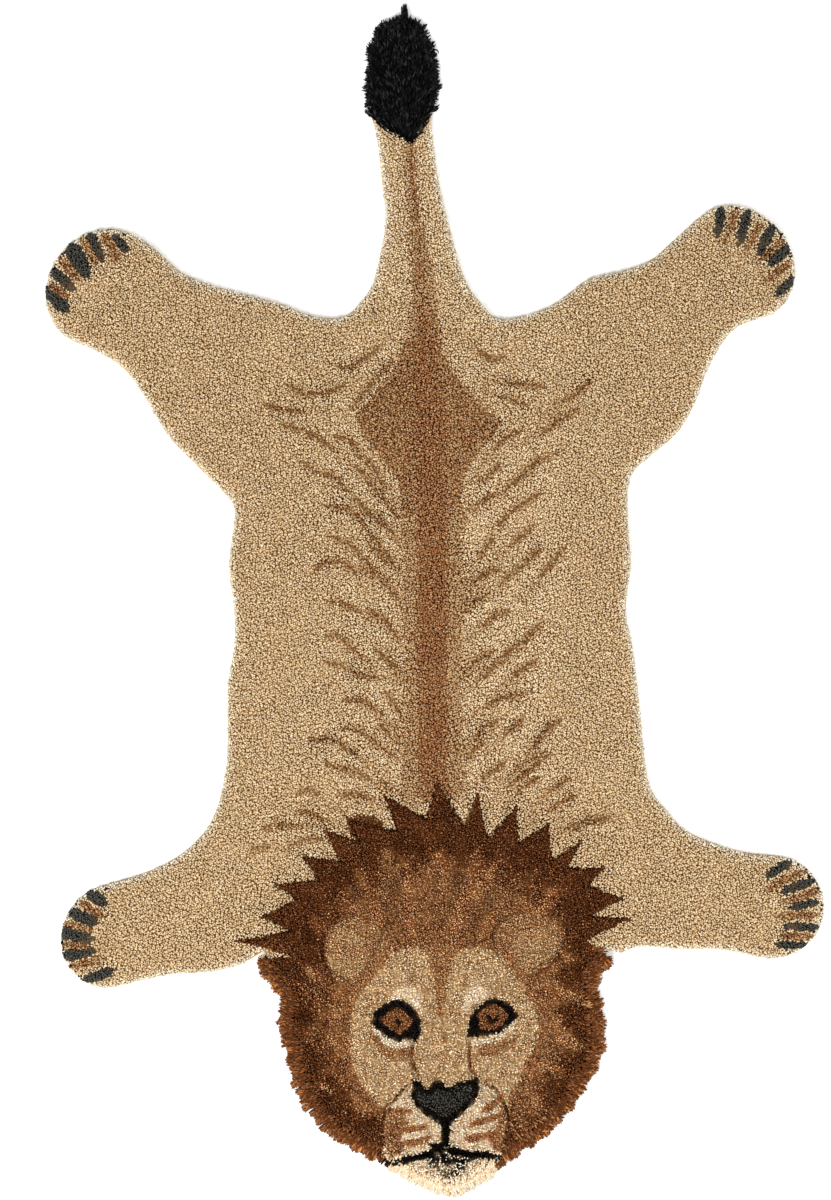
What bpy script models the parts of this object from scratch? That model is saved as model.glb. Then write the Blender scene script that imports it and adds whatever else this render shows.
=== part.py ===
"""A lion-shaped kids rug: hand-tufted wool, cut pile on one backing, lying flat with its face up.

The back of the rug lies on z = 0. +Y runs from the chin to the tail, and +X is to the right of someone
who looks down on the rug with its tail at the top. The origin is under the middle of the whole rug.
The script works in millimetres, and the meshes are scaled to metres as they are made.
"""

import math
import random

import bmesh
import bpy
import numpy as np
from mathutils.geometry import delaunay_2d_cdt

MM = 0.001

# Thickness, in mm, of backing and pile together
PILE_HEIGHT = 11.0
EDGE_HEIGHT = 4.5  # where the rug reaches furthest out
EDGE_ROUND = 12.0  # how far in from the edge the pile stands upright
MANE_RAISE = 3.0  # the mane is left longer than the body
MANE_SLOPE = 1.6
UNEVEN = 0.35  # the shears never leave the pile quite level
UNEVEN_WAVES = ((21, 1.3), (26, 0.4))  # across and along the rug: mm a radian, and radians at the middle
GROOVE_DEPTH = 2.2
GROOVE_HALF = 1.7

# How closely the top is divided, in mm
EDGE_STEP = 9.0
LINE_STEP = 6.0
BODY_STEP = 24.0
MANE_STEP = 13.0
FACE_STEP = 7.5
EDGE_RINGS = (1.6, 5.0, 12.0)
RING_CLEAR = 0.93  # share of a ring's own depth that its points keep from every edge
RING_APART = (0.45, 0.8)  # from other points: share of the ring's depth, and mm
JOIN_CLEAR = 2.0  # from the tail's join
RIM_CLEAR = 2.5  # from the edge round the head
GRID_CLEAR = (0.6, 0.5)  # share of a grid's step kept from the edge, and from other points
CREST_MOST = 7.0  # how far the mane's crest is drawn in at a spike's tip
SPAN_STEPS = 16  # between two points of a curve
PAW_POINTS = 9
MERGED = 1e-6

# Shag at the rim, in mm
GAP = 0.3
END_ROOM = 3  # kept clear between the fringe and each foreleg
FRINGE_REACH = 11.0
STRIP_WIDTH = 4.5
STRIP_STEP = 7.0
TIP_WIDTH = 1.7
TIP_HEIGHT = 2.6
LOCK_LEAN = 10.0  # degrees either way
ROOT_SHARE = 0.86  # of a strip's height, at the roots
SHAG_STEP = 9.0
SHAG_HEIGHT = 15.0
SHAG_ROOT = 11.25  # height of the tail tuft's rim
SHAG_CROWN = (2.5, 18.0)  # how much lower the tuft is at its rim, and how far in that goes
SHAG_LUMPS = 1.3

# Sections of the trunk, from the tail's tip to the chin. Columns: y, left edge x, right edge x, in mm.
TUFT_ROWS = (
    (436, -32, -15),
    (428, -43, -8),
    (415, -48, -2),
    (397, -50, 2),
    (380, -51, 1),
)
TUFT_JOIN = ((-48, 365), (-36, 355), (-18, 345), (-11, 355), (-2, 368))  # where black meets tan
TAIL_ROWS = (
    (345, -44, 0),
    (317, -41, 4),
    (287, -38, 11),
    (257, -43, 19),
    (238, -48, 26),
    (225, -57, 36),
)
TORSO_ROWS = (
    (58, -152, 147),
    (27, -156, 149),
    (-7, -152, 145),
    (-33, -152, 150),
    (-65, -157, 154),
    (-105, -157, 158),
    (-131, -159, 161),
)
HEAD_ROWS = (
    (-270, -138, 137),
    (-286, -128, 125),
    (-301, -117, 126),
    (-320, -118, 129),
    (-342, -112, 127),
    (-365, -107, 115),
    (-384, -97, 103),
    (-402, -81, 86),
    (-415, -60, 67),
    (-426, -39, 53),
    (-437, -22, 41),
    (-448, 3, 21),
)
CHIN_TOP = -423  # the mane's rim ends and the chin's begins at this y

# Each leg, clockwise seen from above: the edge out to the paw, the paw, and the edge back, in mm.
# A paw is part of an ellipse: centre x, centre y, long radius, short radius, tilt of the long radius,
# and the bearings where the arc begins and ends, in degrees from +X.
LEGS = {
    "hind_right": {
        "out": ((49, 213), (76, 218), (95, 228), (115, 243), (140, 249), (162, 257), (175, 268)),
        "paw": (229, 254, 47.5, 41.0, 130, 140, -54),
        "back": ((230, 206), (217, 192), (205, 170), (198, 150), (185, 127), (164, 108), (148, 92)),
    },
    "fore_right": {
        "out": ((165, -144), (176, -158), (189, -172), (211, -182), (236, -189)),
        "paw": (254, -231, 40.6, 40.2, 0, 80, -95),
        "back": ((234, -268), (215, -264), (185, -264), (155, -262), (141, -267)),
    },
    "fore_left": {
        "out": ((-144, -275), (-157, -279), (-175, -282), (-199, -283), (-222, -288)),
        "paw": (-244, -253, 41.0, 38.0, 60, -95, -258),
        "back": ((-218, -204), (-194, -192), (-177, -177), (-166, -159)),
    },
    "hind_left": {
        "out": ((-152, 72), (-163, 84), (-181, 102), (-202, 124), (-220, 154), (-236, 175)),
        "paw": (-249, 235, 48.0, 43.5, 50, 256, 56),
        "back": ((-203, 260), (-190, 248), (-169, 239), (-139, 231), (-113, 224), (-94, 216), (-70, 214)),
    },
}

# The mane's spikes over the body, from the left foreleg round to the right one, in mm. It starts and ends
# in a spike. Columns: tip x, tip y, and x, y of the notch after it.
MANE_SPIKES = (
    (-139, -272, -104, -268),
    (-147, -256, -109, -248),
    (-130, -238, -104, -224),
    (-120, -213, -88, -210),
    (-98, -192, -71, -195),
    (-82, -173, -56, -181),
    (-66, -164, -28, -173),
    (-38, -147, -6, -164),
    (2, -137, 22, -169),
    (32, -145, 40, -179),
    (61, -155, 63, -182),
    (85, -168, 88, -195),
    (110, -181, 100, -201),
    (127, -201, 116, -214),
    (141, -224, 117, -237),
    (145, -239, 113, -256),
)
MANE_END = (138, -268)
ROUND_HEAD = ((170, -300), (170, -480), (-170, -480), (-170, -300))  # closes that line past the chin

# The face lies lower than the mane. Columns: centre x, centre y, half width, half height, in mm.
FACE_OVALS = (
    (-24, -293, 38, 34),
    (34, -293, 38, 34),
    (2, -335, 68, 42),
    (8, -392, 48, 36),
)
FACE_ZONE = (4, -335, 76, 98)  # an oval round them all
FACE_SLOPE = 5.0
FACE_DROP = 1.8  # below the mane

# Soft swellings. Columns: centre x, centre y, half width, half height, how far raised, in mm.
SWELLINGS = (
    (-60, -257, 24, 30, 1.4),  # ears
    (71, -252, 26, 28, 1.4),
    (-26, -283, 22, 18, 1.2),  # brows
    (36, -283, 22, 18, 1.2),
    (6, -340, 13, 42, 1.6),  # bridge of the nose
    (9, -374, 23, 15, 1.8),  # nose
    (-15, -396, 24, 22, 2.2),  # muzzle
    (31, -394, 24, 22, 2.2),
    (9, -432, 28, 13, 0.8),  # chin
)
SWELL_FLANK = 0.8  # share of the way in at which a swelling is at its full height

# Lines carved with shears, in mm
GROOVES = (
    ((-84, -250), (-85, -264), (-79, -276), (-68, -284)),  # left ear
    ((46, -264), (44, -250), (51, -239), (62, -234)),  # right ear, inner side
    ((99, -251), (93, -264), (80, -273)),  # right ear, outer side
    ((-36, -242), (-42, -258), (-50, -274)),  # left brow
    ((-17, -333), (-18, -346), (-15, -358)),  # from the eyes down beside the bridge
    ((26, -331), (26, -344), (28, -357)),
    ((-22, -366), (-31, -376), (-39, -392), (-39, -408), (-36, -419)),  # round the muzzle
    ((44, -366), (52, -377), (56, -394), (51, -412)),
    ((9, -394), (9, -404), (9, -411)),  # below the nose
    ((-34, -421), (-16, -418), (-2, -415), (9, -413), (26, -416), (44, -415)),  # mouth
)

# Fringe along the rim. Columns: node, spacing of the locks, width at the root, shortest and longest lock,
# height at the strip's inner side, material.
FRINGES = (
    ("mane_fringe_right", 3.5, 2.9, 4.4, 9.0, 13.6, "mane_wool"),
    ("chin_fringe", 4.2, 3.6, 5.2, 7.6, 11.5, "cream_wool"),
    ("mane_fringe_left", 3.5, 2.9, 4.4, 9.0, 13.6, "mane_wool"),
)
LOBE = 16.0  # the locks part into clumps about this wide
LOBE_DRIFT = (1.7, 23.0)  # how far the clumps wander from even, and over how many mm
LOBE_SHARE = 0.65  # of a lock's length that its clump settles, the rest being its own
FRINGE_SEED = 11
TUFT_SEED = 5
TUFT_LOCKS = (4.0, 3.3, 3.8, 7.6)  # spacing, width, shortest and longest lock
TUFT_ROOT_INSET = 3.4
STRAY_YARN = ((-22, 433), (-23, 450))  # one yarn left long at the tail's tip: its root and its end
DROOP = 0.3  # how much the mane's locks turn down towards the chin
TUFT_ROOM = 2  # mm of the tuft's outline without locks at each end of its join
JOIN_APART = 1.5

SHARP = 40.0  # degrees

# Columns: colour (linear), roughness
MATERIALS = {
    "tan_wool": ((0.50, 0.34, 0.18), 0.95),
    "mane_wool": ((0.14, 0.055, 0.022), 0.95),
    "black_wool": ((0.012, 0.012, 0.014), 0.92),
    "cream_wool": ((0.72, 0.60, 0.44), 0.95),
}


def even(line, step):
    """Points about step apart along an open line, with its two ends."""
    lengths = np.linalg.norm(np.diff(line, axis=0), axis=1)
    run = np.concatenate([[0.0], np.cumsum(lengths)])
    count = max(2, round(run[-1] / step) + 1)
    at = np.linspace(0.0, run[-1], count)
    return np.stack([np.interp(at, run, line[:, 0]), np.interp(at, run, line[:, 1])], axis=1)


def smooth(points, step):
    """Points about step apart along a Catmull-Rom curve through the given ones."""
    p = np.array([points[0], *points, points[-1]], float)
    t = np.linspace(0.0, 1.0, SPAN_STEPS, endpoint=False)[:, None]
    spans = [
        0.5 * (2 * b + (c - a) * t + (2 * a - 5 * b + 4 * c - d) * t**2 + (3 * b - a - 3 * c + d) * t**3)
        for a, b, c, d in zip(p, p[1:], p[2:], p[3:])
    ]
    return even(np.concatenate([*spans, p[-1:]]), step)


def inward(line):
    """Unit vectors to the right of a line, which is into the rug, as every outline runs clockwise."""
    along = np.gradient(line, axis=0)
    along /= np.linalg.norm(along, axis=1)[:, None]
    return np.stack([along[:, 1], -along[:, 0]], axis=1)


def inset(line, distance):
    return line + distance * inward(line)


def distance_to(points, line):
    """How far each point is from an open line."""
    a, b = line[:-1], line[1:]
    d = b - a
    best = np.full(len(points), np.inf)
    for start, run in zip(a, d):
        t = np.clip(((points - start) @ run) / max(run @ run, 1e-9), 0, 1)[:, None]
        best = np.minimum(best, np.linalg.norm(points - start - t * run, axis=1))
    return best


def inside(points, ring):
    """Whether each point lies in a closed ring, counted by crossings."""
    x, y = points[:, 0], points[:, 1]
    found = np.zeros(len(points), bool)
    for (ax, ay), (bx, by) in zip(ring, np.roll(ring, -1, axis=0)):
        if ay == by:
            continue
        found ^= ((ay > y) != (by > y)) & (x < ax + (y - ay) * (bx - ax) / (by - ay))
    return found


def step_up(value, width):
    t = np.clip(value / width, 0, 1)
    return t * t * (3 - 2 * t)


def oval(points, x, y, half_width, half_height):
    """0 at an oval's middle, 1 on its edge."""
    return np.hypot((points[:, 0] - x) / half_width, (points[:, 1] - y) / half_height)


def paw_points(x, y, long, short, tilt, begin, end):
    bearings = np.radians(np.linspace(begin, end, PAW_POINTS))
    turned = bearings - math.radians(tilt)
    reach = long * short / np.hypot(short * np.cos(turned), long * np.sin(turned))
    return [(x + r * math.cos(b), y + r * math.sin(b)) for r, b in zip(reach, bearings)]


def leg_points(name):
    leg = LEGS[name]
    return [*leg["out"], *paw_points(*leg["paw"]), *leg["back"]]


def side(rows, column, upwards=False):
    points = [(row[column], row[0]) for row in rows]
    return points[::-1] if upwards else points


def right_edge():
    """From the tail's join down the right side to the mane."""
    return [
        TUFT_JOIN[-1],
        *side(TAIL_ROWS, 2),
        *leg_points("hind_right"),
        *side(TORSO_ROWS, 2),
        *leg_points("fore_right"),
    ]


def left_edge():
    """From the mane up the left side to the tail's join."""
    return [
        *leg_points("fore_left"),
        *side(TORSO_ROWS, 1, upwards=True),
        *leg_points("hind_left"),
        *side(TAIL_ROWS, 1, upwards=True),
        TUFT_JOIN[0],
    ]


def head_rim():
    """From the right foreleg round the chin to the left foreleg, as far as the fringe reaches."""
    return smooth([*side(HEAD_ROWS, 2), *side(HEAD_ROWS, 1, upwards=True)], 1.0)


def mane_line():
    """The mane's edge over the body: tips and notches in turn."""
    corners = [corner for row in MANE_SPIKES for corner in (row[:2], row[2:])]
    return np.array([*corners, MANE_END], float)


def drawn_in(line, distance, most):
    """A zigzag moved sideways into the mane, which lies to its right, by no more than most at a corner."""
    before = np.concatenate([line[:1] - (line[1] - line[0]), line[:-1]])
    after = np.concatenate([line[1:], line[-1:] + (line[-1] - line[-2])])
    a = (line - before) / np.linalg.norm(line - before, axis=1)[:, None]
    b = (after - line) / np.linalg.norm(after - line, axis=1)[:, None]
    normal = np.stack([a[:, 1] + b[:, 1], -a[:, 0] - b[:, 0]], axis=1)
    normal /= np.linalg.norm(normal, axis=1)[:, None]
    facing = np.abs(normal[:, 0] * a[:, 1] - normal[:, 1] * a[:, 0])
    return line + normal * np.minimum(distance / np.maximum(facing, 1e-3), most)[:, None]


def split(line, step):
    """A line of straight runs, divided about step apart with its corners kept."""
    runs = [even(np.array(pair), step)[:-1] for pair in zip(line, line[1:])]
    return np.concatenate([*runs, line[-1:]])


def hexagons(low, high, step):
    rows = np.arange(low[1], high[1], step * math.sqrt(3) / 2)
    return np.array(
        [
            (x + (step / 2 if i % 2 else 0), y)
            for i, y in enumerate(rows)
            for x in np.arange(low[0], high[0], step)
        ]
    )


def nearest(points, others):
    """How far each point is from the nearest of the others."""
    return np.min(np.linalg.norm(points[:, None] - others[None], axis=2), axis=1)


class Relief:
    """The height of the rug's top at any place."""

    def __init__(self, edges):
        self.edges = edges
        self.mane = mane_line()
        self.mane_ring = np.concatenate([self.mane, np.array(ROUND_HEAD, float)])
        self.grooves = [smooth(groove, LINE_STEP) for groove in GROOVES]

    def face(self, points):
        """1 on the face, 0 on the mane and body."""
        found = np.zeros(len(points))
        for x, y, half_width, half_height in FACE_OVALS:
            out = (1 - oval(points, x, y, half_width, half_height)) * min(half_width, half_height)
            found = np.maximum(found, step_up(out, FACE_SLOPE))
        return found

    def top(self, points):
        mane = inside(points, self.mane_ring) * step_up(distance_to(points, self.mane), MANE_SLOPE)
        height = PILE_HEIGHT + MANE_RAISE * mane - FACE_DROP * self.face(points)
        (across, across_start), (along, along_start) = UNEVEN_WAVES
        waves = np.sin(points[:, 0] / across + across_start) * np.sin(points[:, 1] / along + along_start)
        height += UNEVEN * waves
        for x, y, half_width, half_height, raised in SWELLINGS:
            height += raised * step_up(1 - oval(points, x, y, half_width, half_height), SWELL_FLANK)
        for groove in self.grooves:
            height -= GROOVE_DEPTH * np.clip(1 - distance_to(points, groove) / GROOVE_HALF, 0, 1)
        off = np.min([distance_to(points, edge) for edge in self.edges], axis=0)
        lean = np.clip(1 - off / EDGE_ROUND, 0, 1)
        share = EDGE_HEIGHT / PILE_HEIGHT
        return height * (share + (1 - share) * np.sqrt(1 - lean**2))


def pile_mesh(name, outline, outline_top, points, tops, lines=()):
    """One closed body: a triangulated top through all the points, upright sides and a flat bottom.
    outline is clockwise. lines are lists of indices into points that edges must follow."""
    count = len(outline)
    flat = [tuple(p) for p in np.concatenate([outline, points])]
    heights = np.concatenate([outline_top, tops])
    edges = [(count + a, count + b) for line in lines for a, b in zip(line, line[1:])]
    ring = list(range(count - 1, -1, -1))
    inside_only = 1  # the triangulation keeps only what lies in the ring
    made, _, faces, from_points, _, _ = delaunay_2d_cdt(flat, edges, [ring], inside_only, MERGED)
    bm = bmesh.new()
    tops_made = []
    for place, origins in zip(made, from_points):
        # Where two lines cross, the new point is as high as the nearest given one.
        index = origins[0] if origins else np.argmin(np.linalg.norm(np.array(flat) - place, axis=1))
        tops_made.append(bm.verts.new((place.x * MM, place.y * MM, heights[index] * MM)))
    for face in faces:
        bm.faces.new([tops_made[i] for i in face])
    rim = [edge for edge in bm.edges if edge.is_boundary]
    for lowered in bmesh.ops.extrude_edge_only(bm, edges=rim)["geom"]:
        if isinstance(lowered, bmesh.types.BMVert):
            lowered.co.z = 0.0
    bottom = [edge for edge in bm.edges if edge.is_boundary]
    bmesh.ops.contextual_create(bm, geom=bottom)
    bmesh.ops.recalc_face_normals(bm, faces=bm.faces[:])
    mesh = bpy.data.meshes.new(name)
    bm.to_mesh(mesh)
    bm.free()
    return mesh


def material(name):
    made = bpy.data.materials.get(name) or bpy.data.materials.new(name)
    colour, roughness = MATERIALS[name]
    made.use_nodes = True
    made.diffuse_color = (*colour, 1)
    shader = made.node_tree.nodes["Principled BSDF"]
    shader.inputs["Base Color"].default_value = (*colour, 1)
    shader.inputs["Roughness"].default_value = roughness
    shader.inputs["Metallic"].default_value = 0.0
    return made


def add_object(mesh, material_name, collection):
    made = bpy.data.objects.new(mesh.name, mesh)
    mesh.materials.append(material(material_name))
    mesh.shade_smooth()
    mesh.set_sharp_from_angle(angle=math.radians(SHARP))
    collection.objects.link(made)


def ring_points(relief, depth, edge, rim, join, kept):
    """Points at a given depth in from an edge that stay clear of every edge and of the points kept."""
    ring = inset(edge, depth)
    share, apart = RING_APART
    clear = nearest(ring, kept) > share * depth + apart
    for other in relief.edges:
        clear &= distance_to(ring, other) > RING_CLEAR * depth
    clear &= distance_to(ring, join) > JOIN_CLEAR
    clear &= distance_to(ring, rim) > RIM_CLEAR
    return ring[clear]


def pelt(collection):
    """The one-piece rug, whose edge leaves room for the shag round the head and at the tail."""
    right, left = smooth(right_edge(), EDGE_STEP), smooth(left_edge(), EDGE_STEP)
    rim = even(inset(head_rim(), FRINGE_REACH), LINE_STEP)
    join = split(np.array(TUFT_JOIN, float), EDGE_STEP)
    outline = np.concatenate([right, rim, left, join[1:-1]])
    relief = Relief([right, left])

    # Lines that the top's edges follow: the mane's edge and its crest, and each groove's bed and shoulders
    mane = mane_line()[1:-1]
    lines = [split(mane, EDGE_STEP), split(drawn_in(mane, MANE_SLOPE, CREST_MOST), EDGE_STEP)]
    for groove in relief.grooves:
        lines += [inset(groove, offset) for offset in (-GROOVE_HALF, 0.0, GROOVE_HALF)]
    kept = np.concatenate(lines)
    starts = np.cumsum([0, *map(len, lines)])
    line_ids = [list(range(a, b)) for a, b in zip(starts, starts[1:])]

    for depth in EDGE_RINGS:
        for edge in relief.edges:
            ring = ring_points(relief, depth, edge, rim, join, kept)
            kept = np.concatenate([kept, ring[inside(ring, outline)]])

    low, high = outline.min(axis=0), outline.max(axis=0)
    zones = (
        (FACE_STEP, lambda p: oval(p, *FACE_ZONE) < 1),
        (MANE_STEP, lambda p: inside(p, relief.mane_ring)),
        (BODY_STEP, lambda p: np.ones(len(p), bool)),
    )
    from_edge, from_others = GRID_CLEAR
    for number, (step, belongs) in enumerate(zones):
        grid = hexagons(low, high, step)
        mine = inside(grid, outline) & belongs(grid)
        for _, finer in zones[:number]:
            mine &= ~finer(grid)
        grid = grid[mine]
        clear = (nearest(grid, outline) > from_edge * step) & (nearest(grid, kept) > from_others * step)
        kept = np.concatenate([kept, grid[clear]])

    mesh = pile_mesh("pelt_pile", outline, relief.top(outline), kept, relief.top(kept), line_ids)
    add_object(mesh, "tan_wool", collection)


def comb(line, root_inset, spacing, width, shortest, longest, rng, droop=0.0, stray=None):
    """The outer side of a strip, clockwise: locks rooted at root_inset from a line of points 1 mm apart,
    reaching out towards it. Returns the points and whether each is a tip."""
    normals = inward(line)
    total = len(line) - 1
    count = int(total / spacing)
    margin = (total - count * spacing) / 2
    wander, over = LOBE_DRIFT
    half, thin = width / 2, TIP_WIDTH / 2
    points, tips = [], []
    for i in range(count):
        at = margin + (i + 0.5) * spacing
        outward = -normals[int(at)]
        along = np.array([outward[1], -outward[0]])
        root = line[int(at)] - outward * root_inset
        clump = 0.5 + 0.5 * math.sin(2 * math.pi * at / LOBE + wander * math.sin(at / over))
        share = LOBE_SHARE * clump + (1 - LOBE_SHARE) * rng.random()
        length = shortest + (longest - shortest) * share
        lean = math.radians(LOCK_LEAN) * rng.uniform(-1, 1)
        towards = outward * math.cos(lean) + along * math.sin(lean) - (0, droop)
        tip = root + towards / np.linalg.norm(towards) * length
        if stray and np.linalg.norm(root - stray[0]) < spacing / 2:
            tip = np.array(stray[1], float)
        points += [root - along * half, tip - along * thin, tip + along * thin, root + along * half]
        tips += [False, True, True, False]
    return np.array(points), np.array(tips)


def fringes(collection):
    """Shag along the mane's rim and the chin, each rooted in a narrow strip beside the rug's edge."""
    rim = head_rim()
    chin = np.flatnonzero(rim[:, 1] < CHIN_TOP)
    first, last = chin[0], chin[-1]
    stretches = (rim[END_ROOM : first - 1], rim[first : last + 1], rim[last + 2 : -END_ROOM])
    for number, (row, stretch) in enumerate(zip(FRINGES, stretches)):
        name, spacing, width, shortest, longest, height, material_name = row
        rng = random.Random(FRINGE_SEED + number)
        root = FRINGE_REACH - GAP - STRIP_WIDTH
        outer, tips = comb(stretch, root, spacing, width, shortest, longest, rng, droop=DROOP)
        inner = even(inset(stretch, FRINGE_REACH - GAP), STRIP_STEP)[::-1]
        outline = np.concatenate([outer, inner])
        outer_top = np.where(tips, TIP_HEIGHT, ROOT_SHARE * height)
        top = np.concatenate([outer_top, np.full(len(inner), height)])
        mesh = pile_mesh(name, outline, top, np.zeros((0, 2)), np.zeros(0))
        add_object(mesh, material_name, collection)


def tail_tuft(collection):
    """The black shag at the tail's end: a lumpy slab with locks all round but where it joins the tail."""
    left = [TUFT_JOIN[0], *side(TUFT_ROWS, 1, upwards=True)]
    line = smooth([*left, *side(TUFT_ROWS, 2), TUFT_JOIN[-1]], 1.0)[TUFT_ROOM:-TUFT_ROOM]
    rng = random.Random(TUFT_SEED)
    outer, tips = comb(line, TUFT_ROOT_INSET, *TUFT_LOCKS, rng, stray=STRAY_YARN)
    # The join's lines slope, so that much further up they keep the gap.
    join = split(np.array(TUFT_JOIN[::-1], float), SHAG_STEP) + (0, GAP * math.sqrt(2.5))
    join = join[nearest(join, outer) > JOIN_APART]
    outline = np.concatenate([outer, join])
    outline_top = np.concatenate([np.where(tips, TIP_HEIGHT, SHAG_ROOT), np.full(len(join), SHAG_ROOT)])
    grid = hexagons(outline.min(axis=0), outline.max(axis=0), SHAG_STEP)
    grid = grid[inside(grid, outline)]
    grid = grid[distance_to(grid, outline) > RING_APART[0] * SHAG_STEP]
    lower, over = SHAG_CROWN
    lumps = np.array([rng.uniform(-SHAG_LUMPS, SHAG_LUMPS) for _ in grid])
    tops = SHAG_HEIGHT - lower * np.clip(1 - distance_to(grid, line) / over, 0, 1) + lumps
    mesh = pile_mesh("tail_tuft", outline, outline_top, grid, tops)
    add_object(mesh, "black_wool", collection)


def centre(collection):
    """Moves every mesh so that the whole rug's box is centred over the origin."""
    corners = np.array([v.co for made in collection.objects for v in made.data.vertices])
    middle = (corners.min(axis=0) + corners.max(axis=0)) / 2
    for made in collection.objects:
        for vertex in made.data.vertices:
            vertex.co.x -= middle[0]
            vertex.co.y -= middle[1]


def main():
    for old in list(bpy.data.objects):
        bpy.data.objects.remove(old)
    collection = bpy.data.collections.new("lion_rug")
    bpy.context.scene.collection.children.link(collection)
    pelt(collection)
    fringes(collection)
    tail_tuft(collection)
    centre(collection)


main()
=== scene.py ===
"""Dresses the lion-shaped kids rug: cut wool pile on its backing, shag at the mane's rim, chin and tail.

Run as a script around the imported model, whose solids give every height and edge. Lengths are in metres
unless a table says otherwise. The colours come from a tufting chart, drawn on squares of 0.754 mm that
are counted to the right and down from the chart's upper left corner.
"""

import math

import bmesh
import bpy
import numpy as np
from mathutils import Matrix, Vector
from mathutils.bvhtree import BVHTree


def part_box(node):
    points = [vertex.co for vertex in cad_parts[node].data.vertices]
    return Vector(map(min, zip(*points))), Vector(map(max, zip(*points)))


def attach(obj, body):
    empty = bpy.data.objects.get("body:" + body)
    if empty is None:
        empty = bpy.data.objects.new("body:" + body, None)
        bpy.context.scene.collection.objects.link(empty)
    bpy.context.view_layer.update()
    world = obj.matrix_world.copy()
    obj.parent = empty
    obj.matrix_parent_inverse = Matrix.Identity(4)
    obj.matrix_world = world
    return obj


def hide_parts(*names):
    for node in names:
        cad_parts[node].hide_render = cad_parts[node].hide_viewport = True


bl_info = {
    "name": "Tufted Animal Rug",
    "version": (1, 0, 0),
    "blender": (4, 5, 0),
    "location": "View3D > Sidebar > Rug",
    "description": "Plants cut pile and shag on a rug cut in the shape of a lion's pelt",
    "category": "Object",
}

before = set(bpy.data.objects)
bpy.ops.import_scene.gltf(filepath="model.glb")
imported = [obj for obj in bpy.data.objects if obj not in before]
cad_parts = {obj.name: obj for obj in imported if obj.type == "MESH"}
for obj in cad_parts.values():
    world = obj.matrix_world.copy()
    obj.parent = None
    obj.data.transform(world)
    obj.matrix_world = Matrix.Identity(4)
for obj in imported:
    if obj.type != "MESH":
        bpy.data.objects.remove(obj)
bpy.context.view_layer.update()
MM = 0.001

# The tufting chart
SQUARE = 0.7538 * MM
CHART_ZERO = (434.6, 600.7)  # the square that lies at the frame's origin

# --- Yarns: linear colours ---
YARNS = {
    "straw": (0.605, 0.487, 0.332),
    "tan": (0.505, 0.382, 0.230),
    "fawn": (0.435, 0.300, 0.168),
    "brown": (0.372, 0.230, 0.117),
    "russet": (0.275, 0.130, 0.058),
    "bark": (0.200, 0.108, 0.045),
    "umber": (0.112, 0.043, 0.0165),
    "chestnut": (0.213, 0.094, 0.041),
    "ginger": (0.342, 0.178, 0.086),
    "gold": (0.425, 0.257, 0.126),
    "rust": (0.42, 0.18, 0.062),
    "cream": (0.70, 0.620, 0.510),
    "charcoal": (0.064, 0.062, 0.053),
    "black": (0.0130, 0.0105, 0.0090),
    "jet": (0.0015, 0.0015, 0.0020),
    # painted highlights: the faint and bright glints on the black tuft are lighter yarns
    "faint_glint": (0.011, 0.011, 0.012),
    "bright_glint": (0.034, 0.033, 0.036),
}

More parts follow.
